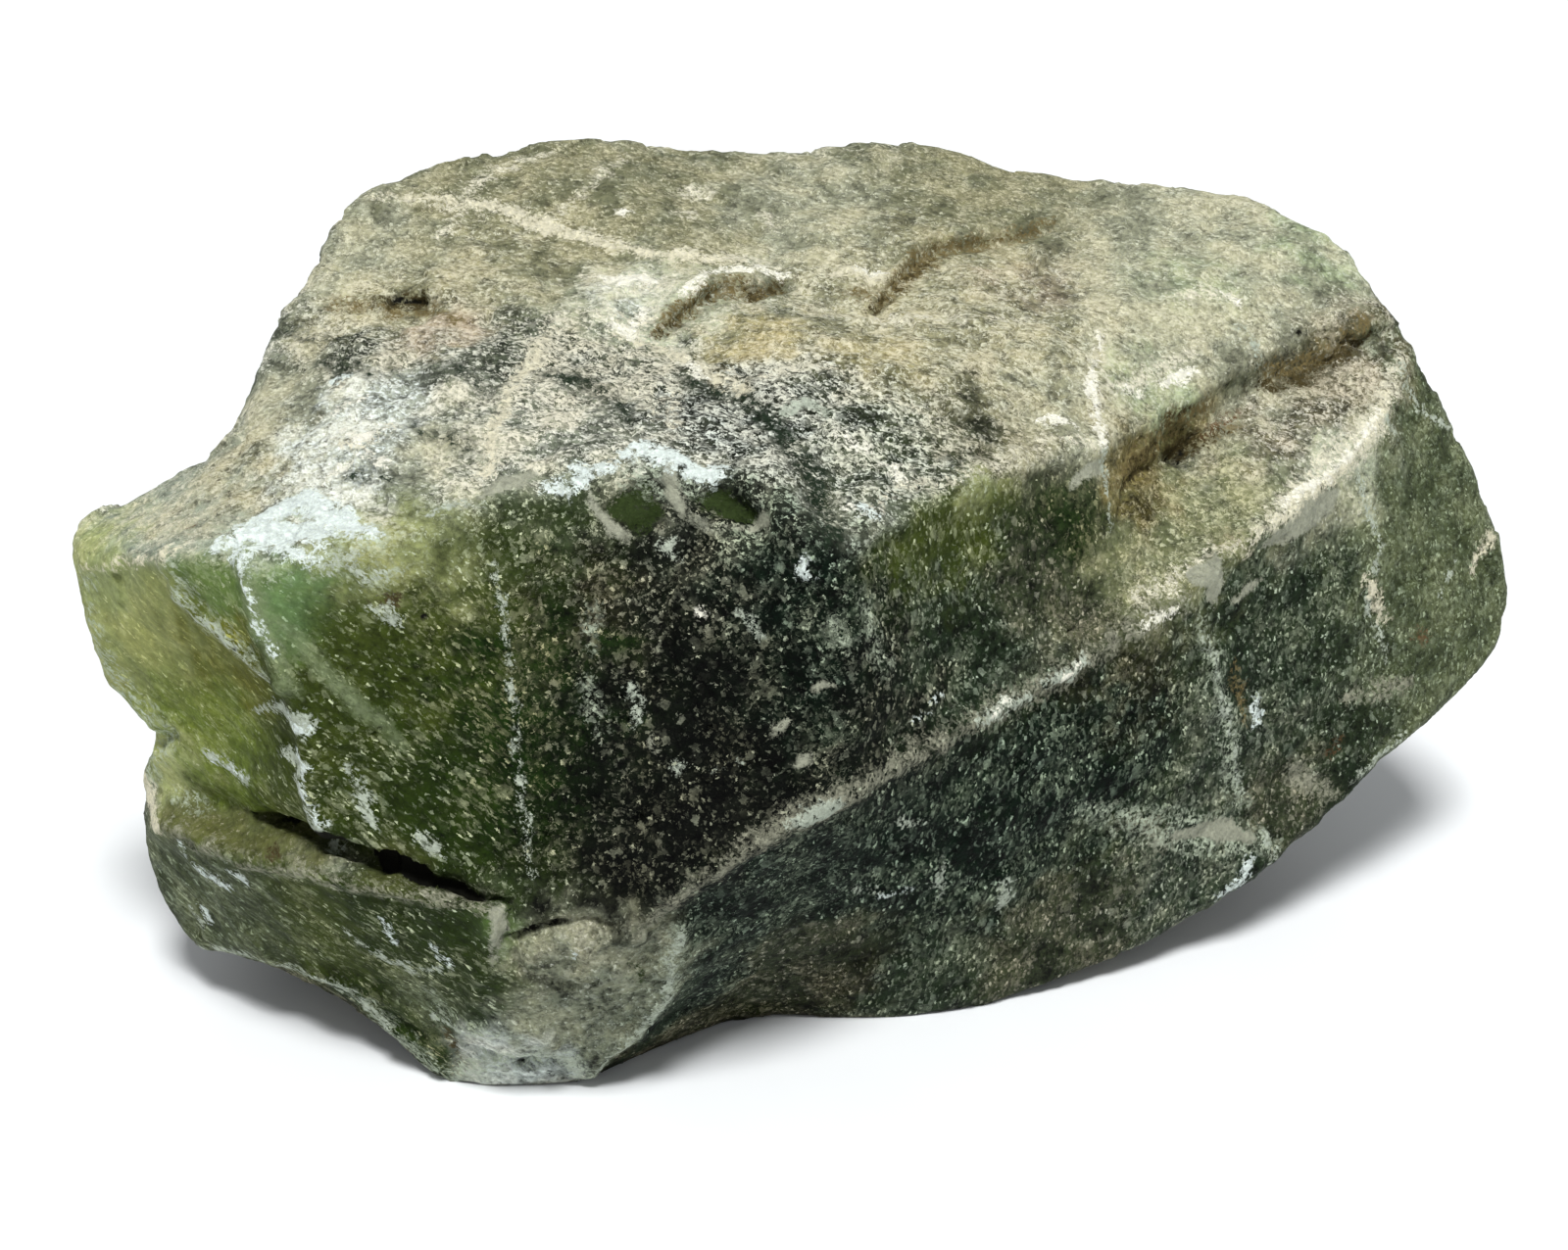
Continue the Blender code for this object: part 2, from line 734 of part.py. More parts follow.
def make_stone():
    """The whole block."""
    stone = bpy.data.objects.new("stone", cage_mesh(corners()))
    bpy.context.collection.objects.link(stone)
    smooth_between_edges(stone)
    even_out(stone)
    roughen(stone)
    knock_out_chips(stone)
    thin_out(stone)
    cut_flat(stone)
    settle(stone)
    stone.data.name = "stone"
    stone.data.materials.append(stone_material())


clear_scene()
make_stone()
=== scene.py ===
import math

import bmesh
import bpy
import numpy as np
from mathutils import Euler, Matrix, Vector, noise
from mathutils.bvhtree import BVHTree
from mathutils.kdtree import KDTree


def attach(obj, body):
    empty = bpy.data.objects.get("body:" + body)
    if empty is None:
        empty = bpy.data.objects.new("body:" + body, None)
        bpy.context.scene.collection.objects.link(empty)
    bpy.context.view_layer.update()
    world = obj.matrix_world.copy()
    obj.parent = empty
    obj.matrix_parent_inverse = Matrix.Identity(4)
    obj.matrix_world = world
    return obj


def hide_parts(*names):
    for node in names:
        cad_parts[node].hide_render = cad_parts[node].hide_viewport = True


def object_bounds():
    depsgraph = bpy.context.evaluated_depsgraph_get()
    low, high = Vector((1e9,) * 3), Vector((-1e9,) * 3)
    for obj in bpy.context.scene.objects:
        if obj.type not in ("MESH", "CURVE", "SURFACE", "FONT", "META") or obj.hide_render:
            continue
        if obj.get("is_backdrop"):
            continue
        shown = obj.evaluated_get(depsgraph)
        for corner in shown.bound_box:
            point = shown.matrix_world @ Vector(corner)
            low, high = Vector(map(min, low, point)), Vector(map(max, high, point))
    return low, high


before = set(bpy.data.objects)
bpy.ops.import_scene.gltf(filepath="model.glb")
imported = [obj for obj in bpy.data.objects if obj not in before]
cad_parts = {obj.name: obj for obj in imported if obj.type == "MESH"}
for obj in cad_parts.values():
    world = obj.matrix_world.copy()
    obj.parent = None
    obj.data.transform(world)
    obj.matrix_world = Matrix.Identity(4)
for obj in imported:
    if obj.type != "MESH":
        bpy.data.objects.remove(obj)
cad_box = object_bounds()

# A rough block of green aventurine on a pale table, lit by soft lamps from above.
# Lengths are in metres where no comment says millimetres.
MM = 0.001

# The photograph's camera and frame
EYE = Vector((-0.003054, -0.182197, 0.120353))
LOOKS_DOWN = math.radians(28.0)
LEAN = Euler((math.radians(90.0) - LOOKS_DOWN, 0.0, 0.0))
LENS = 60.0
SENSOR = 36.0
PHOTO_WIDTH = 1600
PHOTO_HEIGHT = 1276

# The fine surface, the steps along a stroke in pixels, and how many points are measured at once
CELL = 0.00036
SMOOTH_ROUNDS = 2
SLABS = 4
STROKE_STEP = 4.0
BATCH = 20000

# The relief in millimetres: heights of its waves and facets, wear of the crests, and how far a stroke is felt
SWELL = 0.14
GRIT = 0.08
LARGE_FACETS = 0.30
SMALL_FACETS = 0.36
WEAR = 0.35
REACH = 2.5

# How far light spreads inside the clear stone, and how much each colour does
SKIN = 0.0012
SKIN_COLOUR = (1.0, 1.0, 0.45)

# The table's half width, its two tones, and the room around it
TABLE_HALF = 1.6
TABLE_TONES = ((0.82, 0.84, 0.85, 1.0), (0.86, 0.88, 0.89, 1.0))
ROOM_COLOUR = (0.96, 0.98, 1.0, 1.0)
ROOM_STRENGTH = 0.34

# The lamps: place, the spot each aims at, width, depth, power in watts and opening in degrees
LAMPS = {
    "overhead": ((0.03, -0.48, 1.11), (0.0, 0.0, 0.02), 0.28, 0.24, 15.4, 180.0),
    "back": ((0.0, 0.80, 0.50), (0.0, 0.70, 0.0), 1.2, 0.6, 3.0, 90.0),
}

# The surface kinds: colour of the ground, colour of the flecks, then the share of flecks,
# how glossy, how clear and how rough the stone is there, each from 0 to 1
KINDS = {
    # glow and pale glow: the thin left tip's own yellow-green, made brighter with painted light where light
    # shines through it
    "glow": ((132, 138, 84), (190, 194, 130), 0.10, 0.5, 0.9, 0.1),
    "pale glow": ((148, 156, 103), (204, 207, 160), 0.12, 0.4, 0.8, 0.2),
    "honey": ((83, 86, 17), (165, 168, 90), 0.08, 0.5, 0.8, 0.1),
    "tip crust": ((141, 148, 131), (205, 203, 182), 0.25, 0.2, 0.3, 0.4),
    "emerald": ((103, 129, 81), (150, 175, 135), 0.06, 0.5, 0.7, 0.1),
    "jade": ((82, 104, 52), (160, 172, 140), 0.18, 0.5, 0.6, 0.2),
    "leaf": ((97, 111, 42), (165, 175, 130), 0.20, 0.4, 0.4, 0.3),
    "moss": ((55, 65, 19), (188, 196, 156), 0.12, 0.4, 0.4, 0.3),
    "bottle": ((33, 46, 8), (206, 216, 180), 0.07, 0.4, 0.2, 0.3),
    "olive": ((16, 35, 3), (158, 158, 118), 0.10, 0.3, 0.1, 0.7),
    "night": ((4, 9, 3), (188, 190, 166), 0.08, 0.2, 0.0, 0.9),
    "night teal": ((4, 17, 8), (166, 184, 160), 0.14, 0.2, 0.0, 0.9),
    "teal": ((27, 38, 23), (172, 184, 160), 0.18, 0.2, 0.1, 0.7),
    "slate": ((35, 45, 31), (178, 186, 164), 0.24, 0.3, 0.1, 0.7),
    "umber": ((28, 29, 11), (170, 166, 142), 0.16, 0.2, 0.0, 0.9),
    "clay": ((47, 53, 35), (172, 168, 148), 0.18, 0.2, 0.1, 0.8),
    "sea moss": ((66, 73, 48), (156, 168, 138), 0.30, 0.4, 0.3, 0.5),
    "dome": ((105, 105, 79), (186, 184, 156), 0.18, 0.3, 0.3, 0.4),
    "sage": ((141, 141, 118), (206, 206, 182), 0.28, 0.3, 0.3, 0.5),
    "tan": ((141, 137, 105), (208, 205, 180), 0.44, 0.2, 0.2, 0.7),
    "crust": ((134, 139, 119), (220, 218, 202), 0.40, 0.2, 0.1, 0.9),
    "ash": ((75, 82, 64), (212, 210, 192), 0.42, 0.2, 0.1, 1.0),
    "soot ash": ((26, 33, 20), (216, 220, 208), 0.32, 0.2, 0.0, 1.0),
    "blush": ((88, 82, 57), (208, 202, 184), 0.42, 0.2, 0.2, 0.7),
    "cream": ((168, 173, 146), (222, 220, 200), 0.40, 0.3, 0.4, 0.5),
    "shelf": ((99, 103, 71), (186, 186, 152), 0.30, 0.4, 0.6, 0.4),
    "plate": ((126, 128, 106), (196, 196, 178), 0.34, 0.3, 0.3, 0.7),
    "pale foot": ((178, 184, 176), (232, 236, 230), 0.34, 0.4, 0.4, 0.7),
    "fern": ((137, 142, 93), (178, 184, 155), 0.25, 0.4, 0.4, 0.4),
    "ledge": ((81, 85, 47), (150, 148, 122), 0.05, 0.4, 0.4, 0.3),
    "night low": ((2, 3, 2), (144, 146, 124), 0.05, 0.2, 0.0, 0.9),
    "wall": ((90, 82, 45), (172, 162, 126), 0.24, 0.2, 0.1, 0.9),
    "wild foot": ((112, 116, 96), (176, 182, 164), 0.30, 0.3, 0.2, 0.8),
    "white crust": ((178, 182, 165), (232, 238, 232), 0.42, 0.2, 0.2, 0.8),
    "green ash": ((46, 58, 36), (210, 214, 198), 0.30, 0.2, 0.1, 0.9),
    "mist": ((150, 160, 124), (204, 210, 186), 0.32, 0.3, 0.3, 0.5),
    "rose": ((148, 134, 110), (214, 204, 186), 0.40, 0.2, 0.2, 0.7),
    "gold": ((152, 142, 98), (214, 206, 174), 0.36, 0.2, 0.2, 0.6),
}

# Where each kind lies: pixel across, pixel down and reach in millimetres. The order counts,
# here and in the next table, because the zones take their ragged edges in turn
GROUND = dict(
    tip_top=("tip crust", 165, 540, 5.5),
    tip_corner=("pale glow", 100, 555, 3),
    tip_face_high=("pale glow", 112, 600, 3),
    tip_face=("glow", 125, 655, 4),
    tip_face_middle=("glow", 170, 625, 3.5),
    tip_face_deep=("honey", 225, 672, 3.5),
    tip_face_low=("leaf", 168, 715, 2.5),
    tip_under=("leaf", 240, 735, 3),
    tip_inner=("jade", 215, 600, 2.2),
    emerald_heart=("emerald", 302, 600, 2),
    emerald_side=("moss", 350, 650, 3),
    emerald_edge=("moss", 310, 690, 3),
    emerald_foot=("moss", 345, 750, 3.5),
    notch_left=("pale glow", 165, 770, 2.5),
    notch_under=("leaf", 230, 790, 3),
    notch_dark=("moss", 290, 800, 3),
    front_left_high=("fern", 420, 562, 3.5),
    front_left=("moss", 420, 650, 5),
    front_left_low=("bottle", 400, 790, 5),
    front_left_edge=("bottle", 480, 850, 5),
    front_high=("bottle", 540, 545, 4),
    front_upper=("umber", 600, 620, 3.2),
    front_middle=("olive", 520, 700, 6),
    front_low=("night", 590, 815, 4),
    front_dark=("night", 700, 640, 7),
    front_dark_low=("night low", 700, 780, 8),
    front_last=("night low", 640, 880, 5),
    nose=("night teal", 830, 570, 5),
    nose_low=("night teal", 848, 700, 4),
    right_front_rim=("fern", 1000, 502, 1.4),
    right_front_high=("moss", 960, 552, 3.2),
    right_front_side=("clay", 1055, 580, 2.6),
    right_front=("teal", 960, 660, 4.5),
    right_front_low=("night", 890, 730, 5),
    under_vein_left=("night teal", 740, 920, 4),
    under_vein_brown=("clay", 840, 975, 3),
    under_vein=("teal", 950, 985, 3.5),
    lower_face_left=("night teal", 880, 860, 5),
    lower_face=("night teal", 1010, 860, 6),
    lower_face_high=("night teal", 1120, 750, 5),
    lower_face_brown=("umber", 1150, 690, 3),
    lower_face_right=("teal", 1300, 610, 6),
    lower_face_pale=("slate", 1270, 740, 4),
    lower_face_end=("teal", 1370, 700, 5),
    lower_rim=("clay", 1080, 960, 5),
    lower_rim_right=("slate", 1200, 900, 4),
    lower_rim_end=("clay", 1320, 800, 3.5),
    right_end_low=("sea moss", 1450, 660, 6),
    right_end=("sea moss", 1470, 540, 7),
    right_end_high=("sea moss", 1450, 430, 5),
    right_end_teal=("teal", 1385, 770, 3),
    shelf_heart=("shelf", 1250, 530, 4.5),
    shelf_low=("shelf", 1160, 590, 4),
    shelf_corner=("clay", 1130, 640, 3),
    shelf_far=("blush", 1310, 420, 4),
    shelf_end=("cream", 1370, 465, 3.5),
    shelf_back=("blush", 1390, 385, 4),
    wall=("wall", 1165, 490, 3),
    wall_end=("umber", 1330, 385, 2.5),
    top_right=("sage", 1230, 260, 9),
    top_right_near=("sage", 1230, 350, 6),
    top_middle=("tan", 1000, 360, 7),
    top_step=("tan", 960, 290, 7),
    top_back=("dome", 1000, 200, 8),
    dome=("dome", 600, 200, 10),
    dome_right=("sage", 820, 215, 5),
    top_ridge=("tan", 520, 255, 5),
    top_left=("sage", 380, 240, 4.5),
    top_left_near=("white crust", 345, 440, 3.6),
    top_hollow=("tan", 410, 318, 4.5),
    top_centre=("ash", 600, 370, 5),
    top_step_left=("cream", 650, 310, 4),
    top_near=("crust", 560, 440, 5),
    shoulder=("sage", 290, 410, 3),
    shoulder_left=("tan", 245, 492, 4),
    bevel_left=("crust", 500, 470, 3.5),
    bevel=("soot ash", 770, 440, 4),
    bevel_right=("green ash", 900, 440, 5),
    bevel_rim=("clay", 1000, 440, 3.2),
    rim_front=("sage", 1090, 420, 4),
    block_left=("sea moss", 205, 905, 4.2),
    block=("moss", 315, 935, 3.5),
    block_right=("bottle", 420, 930, 4),
    block_end=("bottle", 475, 990, 3),
    block_corner=("plate", 146, 800, 1.4),
    ledge=("ledge", 275, 852, 3),
    ledge_right=("ledge", 400, 893, 2),
    ledge_left=("ledge", 200, 820, 3),
    plate=("plate", 590, 970, 3.5),
    foot=("wild foot", 590, 1030, 3.5),
    foot_low=("pale foot", 520, 1078, 2.2),
    foot_right=("wild foot", 650, 1000, 3),
    foot_teal=("jade", 507, 943, 1.5),
    foot_left=("sea moss", 445, 1024, 1.8),
    foot_edge=("night teal", 700, 1010, 3),
    block_left_high=("sea moss", 250, 905, 3.2),
    front_left_rim=("fern", 350, 575, 2),
    ledge_middle=("ledge", 240, 842, 2.5),
    ledge_end=("umber", 460, 906, 1),
    hackle=("soot ash", 800, 410, 3.5),
    front_low_left=("olive", 520, 800, 4),
    dome_near=("dome", 480, 190, 6),
    top_left_dark=("ash", 355, 362, 2.5),
    notch_wall_near=("wall", 1210, 450, 2),
    ridge=("white crust", 640, 300, 2.5),
    shoulder_right=("white crust", 340, 478, 3),
    pale_facet=("plate", 1322, 534, 2),
    pale_facet_right=("plate", 1358, 514, 1.8),
    lower_rim_far=("slate", 1250, 870, 3),
    top_dark_band=("soot ash", 690, 420, 3),
    emerald_slope=("emerald", 300, 642, 1.6),
    tip_back=("pale glow", 125, 512, 2.5),
    hackle_far=("ash", 850, 395, 2.5),
    shoulder_sage=("sage", 450, 462, 2.5),
    under_vein_low=("umber", 860, 985, 2.5),
    right_front_corner=("olive", 1090, 535, 2.4),
    top_green=("mist", 1220, 290, 3),
    top_green_far=("mist", 1345, 250, 3),
    top_green_near=("mist", 1180, 400, 2.4),
    top_rose=("rose", 1045, 288, 3),
    top_rose_left=("rose", 450, 336, 2.2),
    top_gold=("gold", 900, 365, 2.8),
    top_gold_left=("gold", 770, 345, 2.6),
    top_dark_green=("dome", 1010, 205, 3),
)

# Sides that the photograph doesn't show: place and reach in millimetres
FAR_GROUND = dict(
    back_left=("sea moss", -38, 20, 26, 7),
    back_middle=("moss", -8, 33, 20, 10),
    back_right=("sea moss", 28, 30, 30, 10),
    back_low=("bottle", 10, 30, 8, 9),
    left_wall=("leaf", -50, 5, 30, 7),
    far_right=("teal", 50, 14, 22, 8),
)

# Each layer of marks: colour, width of its edge and how ragged that is in millimetres, how much it covers
# from 0 to 1, and its height in millimetres. The layers lie over each other in this order
LAYERS = {
    "seam": ((142, 142, 123), 1.1, 1.3, 0.50, 0.02),
    "shade": ((30, 42, 29), 1.0, 1.2, 0.50, -0.04),
    # brown stains, and painted shade under the step lips and on the walls
    "ochre_and_painted_shade": ((110, 98, 64), 0.6, 1.2, 0.45, -0.05),
    # pale wisps and veins, and a painted highlight along the front right rim
    "wisp": ((210, 206, 184), 0.6, 0.9, 0.35, 0.02),
    # brown pits and stains, and painted shade in the recesses under the steps and the walls
    "umber": ((66, 58, 34), 0.5, 1.3, 0.70, -0.12),
    "rust": ((92, 70, 46), 0.5, 1.0, 0.40, 0.0),
    "bottle": ((44, 56, 26), 0.3, 0.8, 0.80, -0.12),
    "haze": ((118, 130, 96), 1.3, 0.5, 0.85, 0.0),
    "veil": ((170, 180, 158), 1.1, 1.0, 0.30, 0.0),
    "glass": ((148, 150, 132), 0.25, 0.35, 0.90, 0.06),
    "frost": ((168, 176, 160), 0.25, 0.8, 0.60, 0.08),
    "cream": ((204, 199, 174), 0.4, 0.8, 0.75, 0.04),
    # white flakes and veins, and painted highlights on the lips of the steps
    "milk": ((226, 224, 208), 0.3, 0.8, 0.85, 0.06),
    "chalk": ((208, 218, 212), 0.3, 0.9, 0.92, 0.10),
    # black dots and cracks, and painted shade in the undercut, pits and hollow
    "black_marks_and_painted_shade": ((14, 14, 8), 0.15, 0.15, 1.00, -0.15),
}

# Marks on the ground by layer: points along each as pixel across, pixel down and half the width in
# tenths of a millimetre. A point without a width keeps the width before it
MARKS = {}
MARKS["seam"] = dict(
    ledge_rim=((170, 846, 3), (200, 862), (246, 880, 2), (305, 890, 2.5), (342, 901, 1.5), (386, 912, 2),
        (442, 918, 3), (494, 920)),
    low_vein_start=((648, 946, 2), (678, 924, 3), (720, 892, 4), (752, 872, 5), (790, 852, 6)),
    low_vein=((790, 850, 7), (831, 826, 11), (863, 808, 10), (895, 788, 5), (930, 768, 4), (965, 748, 3),
        (994, 734, 5)),
    low_vein_end=((994, 734, 6), (1026, 718, 7), (1052, 709, 6), (1083, 688, 8), (1099, 677, 6),
        (1131, 655, 4), (1163, 634, 5), (1208, 608)),
    beige_patch=((1322, 782, 5), (1330, 798, 9), (1352, 808, 7)),
    beige_band=((1374, 712, 3), (1402, 706, 5), (1434, 700, 3)),
    ledge_patch_beige=((1150, 836, 6), (1172, 846, 10), (1188, 862, 6)),
    vein_haze=((690, 916, 1), (740, 878, 3), (790, 850, 7), (840, 824, 10), (900, 786, 7), (960, 748, 5)),
)
MARKS["shade"] = dict(
    shade_hackle=((700, 392, 4), (730, 398, 6), (762, 412, 8), (790, 436), (812, 466, 9), (832, 500, 10),
        (846, 540, 11)),
    shade_top_a=((560, 382, 6), (590, 392, 8), (625, 408, 7), (640, 428, 4)),
    shade_top_b=((440, 372, 2), (470, 384, 5), (500, 402, 4)),
    shade_top_c=((420, 438, 3), (446, 446, 5), (476, 456, 4)),
    shade_top_d=((388, 378, 4), (402, 380, 5)),
    shade_left_a=((296, 340, 3), (320, 348, 4), (352, 350, 3)),
    shade_left_b=((330, 372, 3), (350, 380, 4), (376, 384, 3)),
    shade_facet=((352, 490, 4), (376, 486, 7), (404, 494, 4)),
    shade_foot=((712, 1000, 6), (690, 1032, 8), (660, 1060, 7), (630, 1086, 6), (606, 1106, 3)),
)
# Brown stains on the shelf, in the hollow and a brown streak, and painted shade: dark bands under the step
# lips, on the step riser and on the walls under the top's right edge
MARKS["ochre_and_painted_shade"] = dict(
    shelf_brown=((1243, 556, 3), (1256, 552, 4), (1268, 548, 3)),
    shelf_pits_far=((1222, 452, 5), (1245, 440, 6), (1262, 436, 3)),
    wall_shade=((1136, 500, 6), (1160, 468, 12), (1195, 436), (1226, 416, 7)),
    far_wall=((1290, 382, 8), (1330, 372, 10), (1365, 356, 9), (1390, 328, 6)),
    step_shade_left=((670, 340, 5), (690, 325, 8), (704, 310, 9), (720, 298), (742, 292, 8), (764, 300),
        (790, 294, 7), (806, 291, 3)),
    step_shade_right=((896, 312, 4), (910, 298, 9), (931, 275, 10), (956, 258, 9), (985, 250, 7),
        (1010, 246, 5)),
    step_riser=((862, 298, 4), (880, 300, 5), (897, 296, 4)),
    step_shade_far=((1010, 243, 4), (1040, 240, 5), (1075, 230, 4)),
    hollow_brown=((340, 312, 5), (375, 312, 6), (440, 318), (470, 330, 5)),
    brown_streak=((1256, 682, 3), (1264, 706, 4), (1270, 730, 3)),
)
MARKS["wisp"] = dict(
    shelf_rim=((1246, 562, 4), (1275, 548, 5), (1306, 524, 8), (1340, 492, 14), (1368, 466, 16),
        (1400, 434, 12), (1418, 400, 8), (1425, 370, 6)),
    shelf_corner_white=((1158, 612, 5), (1190, 596, 6), (1216, 576, 7), (1234, 560, 4)),
    crest_white_a=((1130, 396, 4), (1160, 392, 8), (1190, 372, 7), (1216, 362, 5)),
    crest_white_d=((1200, 306, 6), (1226, 298), (1262, 304, 5)),
    white_vein=((1122, 340, 3), (1117, 380, 5), (1116, 410, 6), (1120, 440, 5)),
    # painted highlight along the front right rim
    rim_painted_highlight=((885, 528, 4), (917, 498, 3), (965, 494), (1013, 472, 4), (1064, 452, 5), (1112, 452, 4)),
    top_ridge_vein=((379, 203, 4), (419, 203, 6), (465, 210, 7), (505, 214, 9), (535, 226, 8),
        (578, 238, 7), (618, 248, 6), (661, 258), (720, 262, 7), (790, 276, 6)),
    top_vein_a=((557, 154, 4), (530, 162, 7), (502, 172, 8), (485, 190, 7), (472, 206, 6), (465, 225, 5),
        (448, 244, 4)),
    top_vein_b=((640, 160, 3), (616, 179, 4), (600, 192, 3), (574, 217)),
    top_vein_c=((571, 330, 7), (551, 356, 8), (536, 380), (520, 404, 7), (509, 430, 8), (502, 456),
        (494, 486)),
    top_vein_d=((634, 372, 2), (658, 395, 3), (664, 428, 2)),
    top_vein_e_veil=((640, 338, 8), (700, 366), (760, 398, 6), (800, 382, 4)),
    top_vein_f=((681, 389, 3), (684, 412, 4), (686, 436, 3)),
    top_vein_g=((766, 398, 3), (791, 384, 4), (834, 375), (877, 379, 3), (891, 394, 2), (941, 422, 3),
        (963, 441)),
    top_vein_h=((870, 330, 6), (924, 329, 7), (1000, 326, 5), (1049, 326, 4)),
    cream_patch_a=((600, 282, 8), (640, 290, 14), (680, 288, 10)),
    cream_patch_b=((618, 322, 9), (645, 335, 10), (662, 320, 9)),
    dome_spot_a=((705, 195, 8), (716, 198)),
    dome_spot_b=((696, 218, 7), (706, 220)),
    dome_spot_d=((784, 222, 5), (790, 234, 4)),
    shoulder_haze=((340, 452, 5), (372, 456, 10), (396, 440, 6)),
)
# Brown pits and stains, and painted shade: dark at the feet of the step risers, at the foot of the wall, on
# the far wall, at the edge of the hollow and along the foot's bottom edge where it meets the table
MARKS["umber"] = dict(
    bruise_hole=((306, 533, 1.5), (322, 534)),
    emerald_stain=((384, 608, 2), (396, 612, 3), (414, 616, 2)),
    foot_low_dark_end=((512, 1108, 1), (540, 1112, 2), (560, 1112, 1)),
    ledge_dot=((280, 874, 5),),
    shelf_pits=((1186, 462, 2), (1204, 456, 7), (1226, 452, 5), (1244, 440, 3)),
    wall_foot_dark=((1136, 509, 1), (1150, 494, 2), (1163, 484), (1180, 474), (1196, 468, 3)),
    far_wall_shade=((1270, 394, 2), (1300, 396, 3), (1335, 390), (1362, 374), (1392, 340)),
    step_shade_left_deep=((672, 344, 1), (692, 330, 2), (708, 312, 1.5), (722, 302, 1)),
    step_shade_deep=((764, 296, 2), (770, 306), (792, 288, 1), (804, 291, 2)),
    step_shade_right_deep=((889, 318, 1), (903, 310, 2), (914, 298, 2.5), (934, 276, 1.5), (958, 262, 1)),
    hollow_edge=((386, 310, 4), (404, 304, 7), (428, 305)),
    foot_cracks_b=((456, 1050, 1), (468, 1072, 1.5), (470, 1096, 1)),
    wall_streaks_a=((1140, 500, 1), (1160, 470, 3), (1186, 440), (1216, 410, 2)),
    wall_streaks_b=((1300, 392, 2), (1330, 386, 4), (1366, 362, 3)),
)
MARKS["rust"] = dict(
    tip_rust=((194, 548, 4), (200, 538, 2)),
    wall_red=((1229, 440, 3), (1245, 430, 4), (1259, 424, 2)),
    rust_a=((1447, 649, 6),),
    rust_b=((1360, 760, 7),),
)
MARKS["bottle"] = dict(
    hollow_left=((655, 504, 8), (634, 520, 10), (650, 534, 8), (668, 524, 6)),
    hollow_right=((714, 512, 4), (734, 510, 10), (752, 520, 8), (768, 530, 3)),
    foot_green=((640, 985, 1), (652, 992, 2.5), (660, 1002, 1)),
)
MARKS["haze"] = dict(
    bruise_run_halo=((250, 572, 10), (258, 600, 8), (268, 632, 7), (284, 668, 5), (300, 700, 3)),
    slanting_streak=((286, 636, 1), (306, 656, 3), (332, 684, 4), (362, 714, 5), (392, 742, 3),
        (408, 760, 1)),
)
MARKS["veil"] = dict(
    bruise_halo=((215, 556, 8), (262, 548, 22), (310, 530, 20), (350, 540, 16), (384, 552, 10)),
    emerald_halo=((268, 580, 4), (276, 590, 3), (300, 590, 2)),
    tip_ridge_plane=((168, 582, 3), (192, 614, 9), (220, 638, 12), (248, 662, 9), (276, 690, 3)),
    tip_inner_light=((182, 574, 4), (186, 592), (200, 602, 2)),
    tip_corner_light=((84, 588, 7), (98, 598, 5)),
    emerald_cloud=((322, 580, 3), (345, 574, 8), (362, 582, 6), (382, 592, 5), (402, 578)),
    foot_edge_low=((350, 1006, 6), (384, 1028, 9), (410, 1062, 12), (450, 1098)),
    foot_ridge=((440, 1010, 3), (455, 1036, 5), (478, 1050, 8), (520, 1056)),
    foot_low_band=((460, 1096, 10), (520, 1082, 12), (575, 1080, 10), (596, 1092, 6)),
    foot_right_ridge=((690, 950, 6), (684, 1000), (672, 1030, 5), (640, 1058, 4), (600, 1102)),
    chip_fill=((640, 488, 6), (660, 488, 9), (690, 500), (704, 492, 7)),
    ledge_patch=((1096, 826, 5), (1130, 830, 10), (1165, 838, 15), (1210, 848, 17), (1250, 856, 16),
        (1290, 858, 9)),
    ledge_light=((182, 812, 5), (205, 822)),
    lower_streak_band=((1222, 632, 3), (1243, 709, 5), (1250, 750, 8), (1262, 812)),
    dark_cloud_a=((880, 606, 3), (890, 640, 5), (896, 676, 4)),
    dark_cloud_b=((850, 634, 3), (862, 650, 4)),
    dark_streak_a=((606, 620, 1), (604, 640, 2), (602, 660, 1)),
    dark_streak_b=((598, 694, 3), (606, 720, 5), (614, 744, 3)),
    tip_haze=((92, 618, 5), (104, 660, 9), (118, 690, 11), (140, 720, 12), (162, 748, 10)),
    tip_haze_low=((150, 800, 8), (156, 770, 10), (172, 742, 8)),
)
MARKS["glass"] = dict(
    shelf_flake=((1212, 594, 3), (1226, 586, 9), (1238, 574, 6), (1236, 600), (1236, 626, 1)),
    rim_flake=((1094, 496, 2), (1106, 486, 6), (1120, 474, 5)),
    chip_rim_left=((598, 494, 2), (610, 520, 3), (622, 540, 5), (638, 550, 3)),
    chip_rim=((684, 482, 5), (690, 508, 6), (706, 530, 4), (735, 541, 2), (765, 542, 1.5)),
    chip_rim_right=((772, 536, 5), (786, 530, 4.5)),
    lower_flake_f=((1255, 612, 1.5), (1270, 603, 4.5), (1290, 592, 2)),
    pale_facet_edge=((1290, 556, 2), (1312, 540, 9), (1334, 526, 12), (1356, 512, 8), (1368, 500, 2)),
    ledge_patch_plate=((1196, 856, 3), (1225, 846, 8), (1250, 846, 9), (1272, 856, 5)),
    chip_glass=((496, 930, 2), (506, 930, 7), (509, 946, 7.5), (506, 964, 5), (502, 984, 1)),
    leaf_a=((788, 756, 1), (796, 744, 3), (805, 736, 1)),
    leaf_d=((664, 750, 1.5), (671, 762, 2.5), (676, 772, 0.5)),
    leaf_g=((806, 780, 1), (818, 776, 4), (834, 774, 1)),
    leaf_h=((826, 704, 1), (840, 700, 4), (852, 702, 1)),
    rim_leaf=((482, 516, 2), (504, 506, 6), (530, 494, 5), (548, 488, 2)),
)
